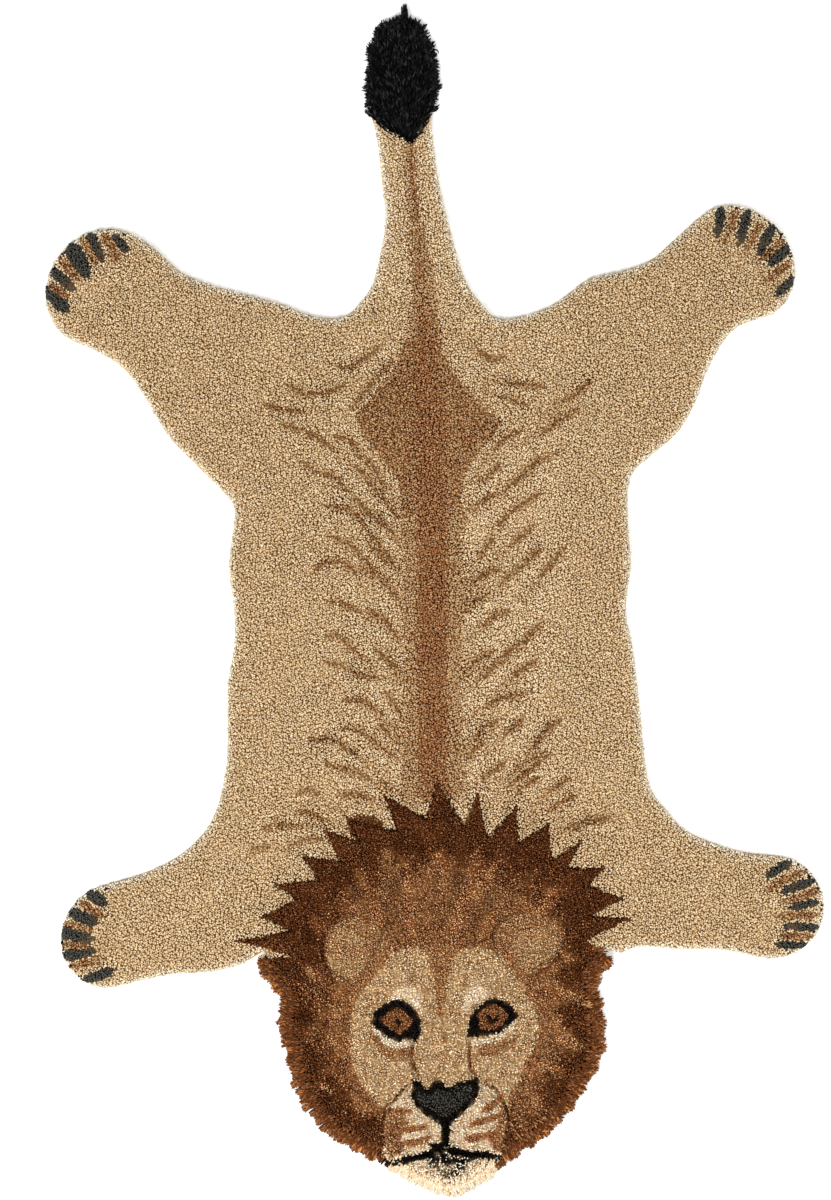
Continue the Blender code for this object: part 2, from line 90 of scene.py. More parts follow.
# What is tufted together in one area: yarn and share
MIXES = {
    "coat": (("tan", 0.68), ("straw", 0.20), ("fawn", 0.12)),
    "pale": (("straw", 0.80), ("tan", 0.20)),
    "rib": (("bark", 0.55), ("brown", 0.38), ("russet", 0.07)),
    "rib_shade": (("fawn", 0.60), ("brown", 0.40)),
    "rib_fade": (("fawn", 0.80), ("brown", 0.20)),
    "tail_ridge": (("fawn", 0.60), ("brown", 0.40)),
    "ridge": (("fawn", 0.55), ("brown", 0.33), ("russet", 0.12)),
    "ridge_core": (("russet", 0.72), ("brown", 0.26), ("bark", 0.02)),
    "saddle": (("brown", 0.52), ("russet", 0.26), ("bark", 0.15), ("fawn", 0.07)),
    "mane": (("umber", 0.74), ("chestnut", 0.26)),
    "mane_mid": (("umber", 0.28), ("chestnut", 0.42), ("ginger", 0.20), ("gold", 0.10)),
    "mane_glow": (("chestnut", 0.34), ("ginger", 0.43), ("gold", 0.20), ("fawn", 0.03)),
    "mane_streak": (("ginger", 0.28), ("gold", 0.60), ("fawn", 0.04), ("chestnut", 0.08)),
    "rim_lit": (("umber", 0.26), ("chestnut", 0.44), ("rust", 0.30)),
    "ear": (("fawn", 0.33), ("ginger", 0.37), ("brown", 0.20), ("tan", 0.05), ("chestnut", 0.05)),
    "ear_pale": (("fawn", 0.45), ("tan", 0.27), ("ginger", 0.28)),
    "face": (("straw", 0.46), ("tan", 0.26), ("brown", 0.16), ("gold", 0.12)),
    "forehead": (("gold", 0.46), ("ginger", 0.38), ("fawn", 0.06), ("chestnut", 0.10)),
    # carved: dark yarns that paint the shade in carved grooves
    "carved": (("umber", 0.60), ("chestnut", 0.40)),
    "cheek": (("ginger", 0.44), ("brown", 0.34), ("fawn", 0.16), ("chestnut", 0.06)),
    "muzzle": (("straw", 0.35), ("tan", 0.30), ("cream", 0.35)),
    "cream": (("cream", 0.94), ("straw", 0.06)),
    "chin": (("cream", 0.70), ("straw", 0.30)),
    "whisker_pad": (("cream", 0.62), ("straw", 0.23), ("tan", 0.15)),
    "muzzle_brown": (("ginger", 0.48), ("fawn", 0.22), ("chestnut", 0.20), ("tan", 0.10)),
    "whisker": (("ginger", 0.50), ("rust", 0.30), ("chestnut", 0.20)),
    "rust": (("fawn", 0.30), ("ginger", 0.32), ("bark", 0.20), ("chestnut", 0.18)),
    "iris": (("rust", 0.10), ("ginger", 0.24), ("bark", 0.14), ("chestnut", 0.52)),
    "nose": (("charcoal", 0.76), ("black", 0.24)),
    "claw": (("charcoal", 1.0),),
    "paw_edge": (("straw", 0.30), ("tan", 0.55), ("black", 0.15)),
    "black": (("black", 1.0),),
    "speckle": (("black", 0.58), ("cream", 0.42)),
    # the tail tuft: jet with painted highlights of lighter yarns
    "tuft": (("jet", 0.62), ("faint_glint", 0.28), ("bright_glint", 0.10)),
}
MIX_NAMES = list(MIXES)

# --- The chart's shapes, in squares ---
HEAD_MIDDLE = (0.006, -0.335)  # in metres
# The stripe from the tail to the mane. Columns: y, left x, right x
RIDGE = (
    (138, 404, 413),
    (200, 408, 419),
    (250, 411, 428),
    (300, 412, 437),
    (345, 407, 443),
    (365, 399, 452),
    (385, 384, 464),
    (405, 366, 482),
    (420, 358, 499),
    (434, 364, 492),
    (450, 374, 479),
    (468, 392, 463),
    (485, 401, 461),
    (600, 403, 463),
    (700, 405, 461),
    (800, 401, 464),
)
TAIL_END = 318  # above this row the stripe is paler
TAIL_PALER, TAIL_CORE = 0.75, 0.5  # share of its tufts that are, and of its core's that are left there
RIDGE_CORE = (
    (140, 407, 412),
    (200, 411, 418),
    (250, 414, 424),
    (300, 417, 431),
    (360, 416, 438),
    (420, 415, 447),
    (500, 418, 448),
    (600, 417, 447),
    (700, 417, 445),
    (800, 420, 450),
)
# The darker patch over the hips: x, y round it
SADDLE = (
    (405, 342), (398, 362), (385, 380), (370, 400), (356, 415), (361, 431), (372, 447), (384, 462),
    (398, 482), (404, 515), (460, 515), (462, 482), (470, 465), (480, 450), (493, 436), (501, 424),
    (489, 411), (470, 398), (457, 380), (444, 362), (438, 342),
)

# Where the coat is paler beside the stripe: share of pale tufts, then x, y round it
PALE_AREAS = (
    (0.45, ((376, 118), (438, 118), (470, 300), (372, 300))),
    (0.45, ((466, 470), (505, 440), (560, 425), (568, 560), (545, 700), (560, 800), (466, 800))),
    (0.25, ((398, 490), (370, 470), (330, 450), (345, 600), (340, 700), (330, 800), (398, 800))),
    (0.32, ((445, 345), (455, 372), (490, 405), (560, 370), (600, 320), (520, 330), (455, 300))),
    (0.32, ((402, 345), (392, 372), (360, 402), (330, 380), (350, 340), (400, 300))),
)

# Strokes over the ribs, each a line of x, y
RIBS = (
    ((338, 368), (354, 367), (370, 355), (381, 345)),
    ((284, 384), (303, 394), (325, 394), (346, 385)),
    ((264, 405), (283, 410), (304, 412)),
    ((280, 424), (300, 430), (322, 440), (336, 452)),
    ((302, 462), (316, 472), (336, 478), (351, 494)),
    ((334, 436), (352, 442), (362, 460)),
    ((324, 505), (346, 508), (360, 518), (367, 531)),
    ((364, 456), (376, 472), (386, 490)),
    ((356, 465), (370, 484), (384, 500), (402, 522)),
    ((351, 494), (366, 511), (388, 530)),
    ((352, 408), (366, 392), (378, 377), (392, 361)),
    ((376, 512), (388, 528), (399, 541)),
    ((367, 531), (380, 546), (398, 570)),
    ((331, 536), (349, 543), (364, 558), (392, 592)),
    ((312, 574), (324, 562), (342, 562), (357, 573)),
    ((366, 540), (378, 552), (387, 563)),
    ((360, 569), (378, 576), (398, 600)),
    ((328, 601), (346, 605), (361, 613)),
    ((364, 609), (382, 617), (399, 639)),
    ((324, 635), (340, 636), (362, 657)),
    ((374, 649), (388, 660), (402, 674)),
    ((324, 662), (342, 664), (358, 675), (378, 677)),
    ((344, 699), (362, 700), (383, 715)),
    ((384, 689), (395, 704), (402, 718)),
    ((377, 721), (388, 732), (400, 744)),
    ((339, 727), (360, 730), (380, 746), (397, 758)),
    ((308, 741), (328, 738), (342, 744), (362, 758)),
    ((324, 762), (342, 768), (358, 772), (373, 781)),
    ((296, 795), (308, 788), (319, 796)),
    ((338, 795), (355, 793), (372, 799)),
    ((298, 810), (314, 813), (327, 822)),
    ((262, 829), (281, 825), (302, 825)),
    ((380, 779), (392, 789)),
    ((290, 846), (306, 838), (322, 838)),
    ((478, 351), (491, 361), (505, 358)),
    ((506, 383), (522, 385), (548, 388)),
    ((498, 396), (512, 400), (528, 406)),
    ((562, 403), (575, 395), (590, 381)),
    ((538, 434), (555, 425), (579, 408)),
    ((494, 451), (505, 438), (522, 431)),
    ((502, 493), (517, 480), (537, 462), (558, 453)),
    ((476, 482), (490, 475), (501, 463)),
    ((496, 530), (508, 513), (525, 503), (542, 492)),
    ((472, 512), (484, 500), (496, 494)),
    ((510, 547), (522, 535), (535, 524)),
    ((478, 559), (487, 545), (494, 539)),
    ((518, 567), (531, 557), (541, 548)),
    ((540, 577), (554, 561), (565, 548)),
    ((555, 421), (564, 416), (573, 411)),
    ((502, 582), (512, 573), (522, 566)),
    ((472, 583), (488, 571), (502, 571)),
    ((464, 612), (477, 600), (488, 594)),
    ((480, 628), (494, 616), (508, 610)),
    ((522, 642), (532, 632), (542, 621)),
    ((502, 657), (517, 645), (532, 638)),
    ((462, 674), (476, 661), (496, 650)),
    ((512, 678), (524, 667), (538, 659)),
    ((480, 679), (496, 664), (506, 660)),
    ((482, 709), (498, 698), (532, 691)),
    ((472, 741), (484, 726), (497, 719)),
    ((502, 737), (516, 724), (524, 716)),
    ((538, 737), (549, 726), (564, 716)),
    ((480, 779), (494, 769), (507, 760)),
    ((512, 772), (530, 760), (547, 750)),
    ((517, 793), (527, 783), (540, 776)),
    ((542, 797), (557, 785), (570, 777)),
    ((546, 812), (561, 802), (577, 794)),
    ((466, 760), (474, 748), (484, 742)),
    ((505, 788), (528, 771), (550, 753)),
    ((530, 750), (546, 731), (560, 717)),
    ((566, 828), (586, 819), (612, 816)),
    ((250, 849), (262, 847), (272, 847)),
    ((572, 830), (588, 822), (604, 820)),
)
# Broad strokes where the ribs run into the stripe
RIB_ROOTS = (
    ((378, 574), (394, 590), (410, 616)),
    ((376, 648), (390, 661), (406, 684)),
    ((383, 721), (396, 734), (408, 756)),
    ((396, 500), (404, 520), (412, 545)),
    ((494, 568), (478, 582), (458, 604)),
    ((492, 650), (476, 662), (458, 682)),
    ((502, 717), (483, 731), (460, 756)),
    ((470, 505), (462, 520), (452, 545)),
)
RIB_WIDTH, RIB_SHARE = 4.2, 0.95  # a stroke's dark middle, and the share of its tufts that are dyed so
SHADE_WIDTH, SHADE_SHARE = 9.0, 0.88  # the fainter band round it
ROOT_WIDTH, ROOT_SHARE = 12.0, 0.85
RUN_WIDTH, RUN_SHARE, RUN_LENGTH = 8.0, 0.60, 34  # and how each fades on towards the stripe
PALE_SIDE = (3, 6)  # a paler streak runs beside each stroke, this far off it
PALE_SHARE = 0.5  # of its tufts that are

# The mane's edge over the body, in mm, as on the solid. Columns: tip x, y, and the notch after it x, y
MANE_SPIKES = (
    (-139, -272, -104, -268),
    (-147, -256, -109, -248),
    (-130, -238, -104, -224),
    (-120, -213, -88, -210),
    (-98, -192, -71, -195),
    (-82, -173, -56, -181),
    (-66, -164, -28, -173),
    (-38, -147, -6, -164),
    (2, -137, 22, -169),
    (32, -145, 40, -179),
    (61, -155, 63, -182),
    (85, -168, 88, -195),
    (110, -181, 100, -201),
    (127, -201, 116, -214),
    (141, -224, 117, -237),
    (145, -239, 113, -256),
)
ROUND_LOCK = (366, 827, 18, 13)  # the one lock with a round end: centre x, y, half width, half height
SPIKE_TIP = 1.7  # half the width, in squares, that a spike still has at its tip
# The ring round the mane goes on from the last spike outside the head, in mm
ROUND_HEAD = ((138, -268), (170, -300), (170, -480), (-170, -480), (-170, -300))
# Lighter parts of the mane: mix, then x, y round each
MANE_AREAS = (
    ("mane_mid", (
        (322, 960), (319, 930), (326, 906), (338, 917), (334, 882), (350, 893), (359, 866), (374, 884),
        (384, 846), (398, 868), (409, 850), (424, 866), (432, 858), (440, 852), (448, 856), (458, 862),
        (470, 846), (480, 846), (488, 866), (500, 856), (514, 878), (532, 864), (545, 890), (558, 880),
        (562, 905), (570, 930), (566, 955), (578, 990), (586, 1008), (572, 1012), (582, 1046), (566, 1052),
        (562, 1078), (545, 1092), (547, 1118), (522, 1136), (506, 1130), (382, 1134), (362, 1126),
        (350, 1108), (334, 1100), (316, 1078), (322, 1052), (305, 1036), (316, 1012), (302, 992),
        (306, 968),
    )),
    ("mane_glow", (
        (345, 925), (356, 892), (372, 902), (387, 860), (402, 880), (420, 872), (438, 848), (450, 868),
        (468, 870), (478, 884), (492, 868), (506, 892), (520, 884), (532, 903), (547, 900), (558, 925),
        (556, 960), (568, 988), (560, 1004), (552, 1012), (568, 1040), (556, 1048), (552, 1062),
        (536, 1078), (540, 1104), (518, 1118), (508, 1100), (378, 1112), (362, 1098), (350, 1084),
        (340, 1062), (336, 1040), (326, 1024), (332, 1000), (340, 985), (330, 960),
    )),
    ("mane", ((561, 966), (590, 990), (592, 1002), (572, 992), (556, 978))),
    ("mane", ((566, 1001), (586, 1010), (592, 1050), (576, 1040), (562, 1014))),
    ("mane", ((540, 1074), (562, 1078), (560, 1088), (544, 1086))),
    ("mane", ((318, 1050), (331, 1056), (328, 1070), (316, 1068))),
    ("mane", ((344, 1106), (382, 1118), (384, 1140), (352, 1132))),
    ("mane", ((316, 1072), (340, 1078), (350, 1100), (338, 1114), (320, 1100))),
)
# The oval that is the face's own piece: centre x, y, half width, half height
FACE_MIDDLE = (443, 1052, 96, 118)
# Paler streaks in the mane. Columns: x, y, x, y, width
STREAK_SHARE = 0.85  # of their tufts that are
MANE_STREAKS = (
    (546, 976, 572, 996, 7),
    (566, 992, 588, 1004, 8),
    (555, 1016, 566, 1034, 8),
    (563, 1028, 579, 1049, 8),
    (526, 978, 540, 988, 7),
    (540, 1052, 552, 1070, 6),
    (526, 1078, 537, 1112, 6),
    (551, 950, 572, 958, 6),
    (320, 1080, 332, 1092, 7),
    (352, 1092, 366, 1112, 6),
    (328, 1034, 340, 1052, 7),
    (336, 1004, 330, 1026, 6),
    (440, 866, 446, 884, 5),
    (384, 848, 400, 874, 8),
    (398, 872, 408, 888, 6),
    (494, 862, 490, 878, 6),
    (306, 966, 316, 978, 8),
)

# Ovals: mix, centre x, y, half width, half height
OVALS = (
    ("ear", 357, 950, 33, 34),
    ("ear_pale", 346, 953, 19, 26),
    ("ear", 529, 942, 34, 31),
    ("ear_pale", 535, 946, 22, 20),
)

# Outlined areas of the face: mix, then x, y round each
FACE_AREAS = (
    ("face", (
        (386, 957), (400, 948), (416, 946), (430, 951), (442, 957), (455, 950), (470, 946), (486, 947),
        (500, 953), (512, 969), (522, 984), (532, 1000), (538, 1016), (538, 1036), (533, 1050), (524, 1062),
        (519, 1080), (508, 1094), (509, 1115), (506, 1135), (501, 1154), (388, 1160), (384, 1145),
        (382, 1125), (384, 1108), (374, 1097), (363, 1085), (355, 1070), (351, 1052), (350, 1030),
        (353, 1008), (360, 990), (371, 973),
    )),
    ("forehead", (
        (424, 942), (461, 942), (454, 960), (447, 978), (444, 1014), (438, 1014), (435, 984), (430, 960),
    )),
    ("cream", (
        (388, 999), (396, 990), (407, 984), (417, 988), (422, 1000), (421, 1011), (412, 1004), (403, 997),
    )),
    ("cream", (
        (463, 1014), (462, 1000), (468, 988), (478, 983), (488, 989), (486, 996), (475, 1002), (468, 1010),
    )),
    ("muzzle", (
        (409, 1086), (397, 1098), (386, 1106), (383, 1125), (385, 1145), (390, 1157), (412, 1156),
        (430, 1151), (441, 1144), (441, 1122), (429, 1113), (417, 1106), (412, 1096),
    )),
    ("whisker_pad", (
        (412, 1100), (420, 1104), (441, 1122), (441, 1146), (428, 1152), (404, 1155), (398, 1147),
        (420, 1144), (428, 1133), (414, 1120), (402, 1107),
    )),
    ("cream", ((397, 1098), (405, 1099), (404, 1107), (392, 1106))),
    ("muzzle_brown", (
        (384, 1111), (404, 1108), (408, 1122), (400, 1134), (404, 1150), (389, 1156), (382, 1130),
    )),
    ("cream", ((404, 1131), (423, 1130), (420, 1137), (401, 1138))),
    ("whisker_pad", (
        (479, 1096), (490, 1084), (503, 1094), (508, 1110), (506, 1132), (501, 1151), (468, 1151),
        (449, 1145), (447, 1124), (461, 1112),
    )),
    ("muzzle", ((480, 1082), (492, 1083), (503, 1093), (497, 1100), (488, 1095), (479, 1098))),
    ("muzzle_brown", (
        (501, 1095), (508, 1106), (507, 1132), (502, 1150), (494, 1148), (488, 1140), (497, 1122),
    )),
    ("chin", (
        (391, 1162), (402, 1160), (430, 1156), (447, 1150), (468, 1154), (493, 1156), (499, 1172),
        (490, 1188), (474, 1202), (458, 1212), (438, 1210), (416, 1204), (394, 1192), (380, 1174),
    )),
    ("speckle", (
        (422, 1154), (438, 1146), (462, 1147), (474, 1157), (464, 1169), (448, 1176), (432, 1167),
    )),
)

# Strokes on the face: mix, width, then x, y along each
FACE_STROKES = (
    ("cream", 8, ((374, 1027), (385, 1038), (398, 1045), (413, 1040))),
    ("cream", 7, ((472, 1041), (488, 1039), (503, 1032), (516, 1020))),
    ("cheek", 7, ((371, 1031), (380, 1044), (392, 1053))),
    ("cheek", 11, ((380, 1048), (396, 1053), (414, 1050))),
    ("cheek", 12, ((477, 1050), (497, 1049), (514, 1038))),
    ("cheek", 5, ((414, 1048), (413, 1062), (419, 1076))),
    ("cheek", 5, ((470, 1044), (470, 1062), (476, 1076))),
    ("forehead", 10, ((396, 941), (380, 960), (364, 980), (351, 1000))),
    ("forehead", 8, ((499, 943), (511, 962), (524, 984))),
    # painted shade: dark strokes along the carved grooves round the ears, beside the nose's bridge and round
    # the muzzle
    ("carved", 2.8, ((326, 935), (323, 960), (330, 975), (337, 980))),
    ("carved", 2.8, ((560, 952), (548, 965), (535, 973))),
    ("carved", 1.4, ((414, 1042), (412, 1060), (418, 1075))),
    ("carved", 2.2, ((408, 1083), (395, 1098), (385, 1106), (382, 1125), (384, 1150))),
    ("carved", 2.2, ((484, 1082), (495, 1086), (503, 1095), (508, 1112), (507, 1126), (503, 1142))),
    ("whisker", 5, ((387, 1109), (400, 1108), (413, 1111))),
    ("whisker", 6, ((384, 1123), (405, 1128), (428, 1124))),
    ("whisker", 6, ((398, 1141), (416, 1141), (432, 1134))),
    ("whisker", 7, ((482, 1110), (492, 1103), (503, 1094))),
    ("whisker", 7, ((470, 1123), (486, 1118), (505, 1112))),
    ("whisker", 8, ((463, 1137), (480, 1135), (503, 1133))),
    ("black", 9, ((444, 1112), (446, 1130), (443, 1152))),
    ("black", 7, ((375, 1169), (384, 1162), (397, 1159), (412, 1157), (428, 1153), (440, 1147), (452, 1142))),
    ("black", 7, ((428, 1142), (446, 1147), (460, 1151), (474, 1153), (488, 1153), (506, 1155))),
)

# Areas laid over all the others, with clean borders
FEATURES = (
    ("black", (
        (371, 1021), (376, 1009), (385, 1002), (396, 998), (407, 1001), (416, 1009), (421, 1020),
        (420, 1032), (415, 1042), (410, 1037), (400, 1040), (390, 1037), (379, 1030),
    )),
    ("iris", (
        (381, 1019), (388, 1011), (397, 1006), (405, 1010), (413, 1019), (408, 1027), (399, 1033),
        (389, 1027),
    )),
    ("black", ((392, 1021), (397, 1017), (403, 1019), (399, 1023))),
    ("black", (
        (467, 1036), (468, 1022), (474, 1010), (483, 1002), (495, 996), (506, 1001), (519, 1013),
        (510, 1022), (502, 1030), (491, 1034), (480, 1035),
    )),
    ("iris", (
        (476, 1014), (483, 1006), (493, 1003), (503, 1007), (508, 1014), (503, 1023), (493, 1029),
        (481, 1028),
    )),
    ("black", ((486, 1020), (489, 1012), (493, 1018), (498, 1012), (498, 1018), (492, 1023))),
    ("black", (
        (412, 1076), (415, 1081), (421, 1080), (425, 1088), (429, 1087), (433, 1080), (439, 1079),
        (444, 1082), (448, 1087), (453, 1084), (457, 1080), (466, 1080), (478, 1075), (480, 1088),
        (474, 1101), (462, 1111), (451, 1123), (440, 1123), (427, 1114), (416, 1106), (412, 1095),
    )),
    ("nose", (
        (417, 1089), (423, 1092), (430, 1093), (438, 1086), (446, 1091), (456, 1085), (473, 1083),
        (474, 1091), (468, 1099), (458, 1107), (449, 1115), (442, 1115), (430, 1108), (420, 1101),
        (416, 1093),
    )),
)

# Toes. Columns: mix, width, x, y, x, y
TOES = (
    ("claw", 14, 46, 289, 68, 311),
    ("claw", 10, 52, 270, 74, 290),
    ("claw", 16, 70, 244, 88, 277),
    ("claw", 10, 90, 234, 103, 262),
    ("claw", 9, 113, 236, 129, 252),
    ("rust", 8, 50, 285, 70, 299),
    ("rust", 9, 59, 258, 81, 282),
    ("rust", 8, 82, 237, 97, 266),
    ("rust", 10, 104, 234, 120, 262),
    ("claw", 9, 721, 209, 716, 238),
    ("claw", 9, 748, 211, 738, 246),
    ("claw", 10, 774, 225, 757, 254),
    ("claw", 10, 790, 245, 768, 266),
    ("claw", 9, 795, 278, 775, 296),
    ("rust", 8, 737, 208, 723, 244),
    ("rust", 8, 760, 225, 743, 255),
    ("rust", 8, 784, 240, 757, 262),
    ("rust", 8, 792, 262, 763, 283),
    ("claw", 11, 88, 892, 108, 903),
    ("claw", 11, 68, 911, 98, 922),
    ("claw", 12, 59, 931, 93, 938),
    ("claw", 11, 61, 956, 96, 950),
    ("claw", 10, 84, 980, 114, 969),
    ("rust", 8, 80, 900, 105, 917),
    ("rust", 7, 62, 922, 94, 930),
    ("rust", 8, 60, 945, 91, 945),
    ("rust", 8, 70, 967, 106, 957),
    ("claw", 8, 790, 860, 765, 876),
    ("claw", 7, 813, 879, 780, 892),
    ("claw", 7, 818, 900, 789, 907),
    ("claw", 7, 819, 927, 782, 925),
    ("claw", 7, 810, 946, 775, 943),
    ("rust", 8, 804, 870, 765, 890),
    ("rust", 8, 818, 889, 780, 903),
    ("rust", 8, 818, 914, 774, 915),
    ("rust", 8, 812, 936, 778, 935),
)
TOE_SWELL = 1  # the black ones are this much wider than their columns say
# Single yarns that stick out of the tail tuft, each from its end in to its root
STRAYS = (
    ((405, 5), (408, 12), (405, 20)),
    ((397, 18), (400, 15), (405, 17)),
    ((367, 44), (370, 46), (375, 53)),
    ((364, 61), (368, 60), (374, 62)),
    ((367, 53), (370, 54), (376, 57)),
    ((363, 80), (366, 81), (373, 82)),
    ((364, 105), (367, 104), (372, 101)),
    ((439, 54), (438, 49), (430, 50)),
    ((440, 72), (437, 70), (430, 69)),
    ((438, 67), (435, 66), (429, 64)),
    ((440, 105), (437, 108), (430, 109)),
)
STRAY_HEIGHTS = (2.5 * MM, 6 * MM, 4 * MM)  # of their ends, bends and roots
# Where the paws' ends have a speckled edge: centre x, y and radius
PAW_ENDS = ((85, 262, 52), (762, 240, 54), (88, 932, 50), (792, 905, 52))
PAW_EDGE = 4.5 * MM  # how far in from the rug's edge it goes

# --- How the chart is dyed ---
CRISP, BRUSHED, SOFT, BLENDED = 0.45, 1.1, 2.2, 3.0  # how far, in squares, tufts stray over a border
STROKE_END = 0.12  # the square of how wide a stroke's ends are, as a share of its middle
DYE_SPREAD = 0.09  # how much one tuft is lighter or darker than the next
HEAD_SPREAD = 0.24  # how much more so on the head
COMBED_SPREAD = 0.17  # how much lighter or darker the mane's streaks are
# Where the streaks are, in mm from the head's middle, and their share of COMBED_SPREAD there
COMBED_BAND = ((70, 0.3), (110, 1.0), (140, 1.0), (160, 0.3))
CARVED_SHADE = 0.25  # painted shade: how much darker the yarns are in a line that the shears have carved
EDGE_PAINTED_LIGHT = np.array([0.18, 0.46, 0.96])  # painted light: how much paler the yarns are that lean out at the rug's edge, as if lit there
EDGE_LIGHT_BAND = 7.2 * MM  # how far in that painted light begins
FULL_EDGE_LIGHT = 0.4  # a yarn whose red is at least this light takes the painted light in full
PALEST = 0.9  # no yarn is lighter than this
ROOT_SHADE_TINT = (1.10, 0.95, 0.70)  # painted shade between the roots: it is warmer, as light that comes out from between them would be
CHIN_ROOT_SHADE = 0.9  # painted shade at the chin's roots: how bright it is there, as pale yarns let light through

# --- How the yarns stand ---
SEED = 7
PILE_RINGS, PILE_GIRTH = (0.86,), (1.0,)  # where along a cut yarn its ring lies, and how thick it is there
SHAG_RINGS, SHAG_GIRTH = (0.25, 0.62, 0.90), (1.0, 1.0, 0.75)
SIDES = 3  # of every yarn
CELL_MARGIN = 0.08  # left free round each cell of the map, as a share of the cell
ROWS_TURN = math.radians(-38)  # how far the rows of tufts slant
ROW_SPREAD = 0.34  # how far a tuft is off its place in the row, as a share of the spacing
GIRTHS = (0.85, 1.15)  # the thinnest and the thickest yarn, as shares of the setting
SAME = 0.01 * MM  # places closer than this are one
SHORTEST = 1e-6  # shorter vectors aren't given a length of 1
DOWN = Vector((0, 0, -1))
OVER = 0.1  # rays start this high
UPRIGHT = 0.7  # the z of a normal is less than this on the faces round the rug's edge
TOP_FACING, BACK_FACING = 0.2, -0.5  # it is more than this on top, and less than this on the back

# Cut yarns
REACHES = (0.4, 1.5)  # the least and the most that one leans, as shares of the setting
LEAN_SPREAD = 0.55  # how far its way differs from the flow of those round it
HEAD_COMB = 0.8  # how far the head's are combed out from its middle
HEAD_LEAN = 0.55  # how far they lean, as a share of the coat's
RIM_LEVEL = 0.6  # how much less one at the rim leans with the flow
BEND_BACK = 0.25  # how far its middle stays behind, as a share of its lean
TRIM = 0.2 * MM  # how far under the solid's top it ends
CARVE_TRIM = 0.9  # and how much further, in mm for each mm that the solid is carved
CARVE_PROBE, CARVE_MOST = 2.6 * MM, 1.5  # how far off a carved line's banks lie, and its depth in mm at most
TIP_LOWEST, ROOT_LOWEST = 1.5 * MM, 0.8 * MM  # above the floor
BARE_EDGE = 0.4 * MM  # none ends closer to the rug's edge
SHAG_BESIDE = 1.5 * MM  # where shag is at most this much further off than the edge, none leans out

# The two rows that lean out over the edge
EDGE_ROWS = ((1.2, 2.4, 0.3), (2.6, 4.4, 0.9))  # lowest and highest end, and how far in, in mm
EDGE_STRAY = (-0.3, 0.5)  # how much further in, in mm
EDGE_SIDE = 0.6  # how far to either side, in mm
EDGE_LENGTHS = (3, 4.2)  # in mm
EDGE_GIRTH = 0.8  # share of a cut yarn's thickness
EDGE_DROP, EDGE_LOWEST = 0.8 * MM, 0.9 * MM  # how far their roots are under their ends, and the lowest root
EDGE_ARCH = 0.8 * MM  # how far their middles bulge up
EDGE_WAVE = 1.3 * MM  # how far in they wander
SHAG_LEVEL, SHAG_CLEAR = 4 * MM, 2.5 * MM  # no row stands where shag is this near, measured at this height

# Long yarns at a rim. Each lies in a layer from 0, the lowest and longest, to 1. Down to the arch, a pair
# here is the value in layer 0, and what is added up to layer 1.
RIM_SETBACK = (1.0, 3.5)  # from the strip's ridge in to the root, in mm
RIM_SPREAD = 1.1  # sideways at the root, in mm
RIM_STRAY = (0.4, 1.2)  # sideways at the end, in mm
RIM_PAST, RIM_SHORT = 0.8 * MM, 0.6  # past its lock's end; the share by which layer 1 falls short of that
RIM_ROOT = (0.4, 0.45)  # the root's height, as a share of the strip's
RIM_END = (1.2 * MM, 0.5)  # the end's height; what is added is a share of the strip's
RIM_ARCH = (1.5, 2.5)  # how far the middle bulges up, in mm
RIM_ENDS = (0.8, 1.3)  # the least and the most that chance makes of an end's height, as shares
RIM_GIRTHS = (0.75, 1.15)  # as GIRTHS

# Long yarns over a join and over the top
COVER_LEVEL, COVER_LOWEST = 10 * MM, 6 * MM  # where the strip's distance is taken; lower tops stay bare
COVER_THINNED = 0.7  # how much fewer they are where the band ends
COVER_SPREAD = 0.3  # how far their ways differ
COVER_REACHES = (0.7, 1.3)  # the least and the most that one lies over, as shares of the setting
COVER_END, COVER_BEND, COVER_ROOT = 0.7, 0.2, -0.3  # where its end, bend and root lie along that
COVER_DROP = (0.25, 0.6)  # height, as a share of the top's, of one that hangs over the edge
COVER_LIFT, COVER_ARCH = (-0.2, 0.8), (0.6, 1.6)  # of its end and its bend, in mm
COVER_DEPTH = 4 * MM  # of its root
TUFT_BAND = 3 * MM  # how far in from the tail tuft they are planted
TUFT_ROOT = (2 * MM, 10 * MM)  # what they lean away from there: right of the tuft's middle, below its end
TUFT_STRAY = 0.9  # share of a long yarn's thickness

# The strips, slab and locks of the solids
LOCK_ROOT, LOCK_CUT = 2.0 * MM, 0.45  # a lock further than this from its strip is cut shorter by this share
LOCK_TIP = 2.6 * MM  # the height at which locks end
LOCK_SAME = 0.05 * MM  # give or take this
STRIP_TOP = 8 * MM  # strips and slab are all higher than this
CORE_INSET, TUFT_INSET, CORE_LOWEST = 0.6 * MM, 0.8 * MM, 1.0 * MM  # how they are drawn in under the yarns

# Where the coat's pieces part, in mm: y at the hips and shoulders; y, middle x and half width of the tail
HIPS, SHOULDERS = 95, -110
TAIL_BASE, TAIL_MIDDLE, TAIL_HALF = 205, -10, 62

# --- The back and the stage ---
# The cloth's weave, and how dark it is between its threads
WEAVE = {"Scale": 280.0, "Distortion": 0.6, "Detail Scale": 3.0}
WEAVE_SHADE = 0.62

# The stage, in metres
FLOOR_SIZE, FLOOR_GAP = 12, 0.0002  # how wide it is, and how far under the rug it lies
LAMPS = {"key_lamp": ((-1.3, -1.2, 2.7), 1.4), "fill_lamp": ((1.8, -0.6, 2.0), 1.6)}  # place and width
PICTURE = (831, 1200)  # what the camera sees, in squares across and down
CAMERA_HEIGHT, CAMERA_FAR, SENSOR = 3.2, 50, 36  # the last is the sensor's width, in mm


# --- Settings ---
def length(name, default, description):
    """A setting that is a length, in metres."""
    return bpy.props.FloatProperty(
        name=name, default=default, description=description, min=0.0, precision=5, unit="LENGTH"
    )


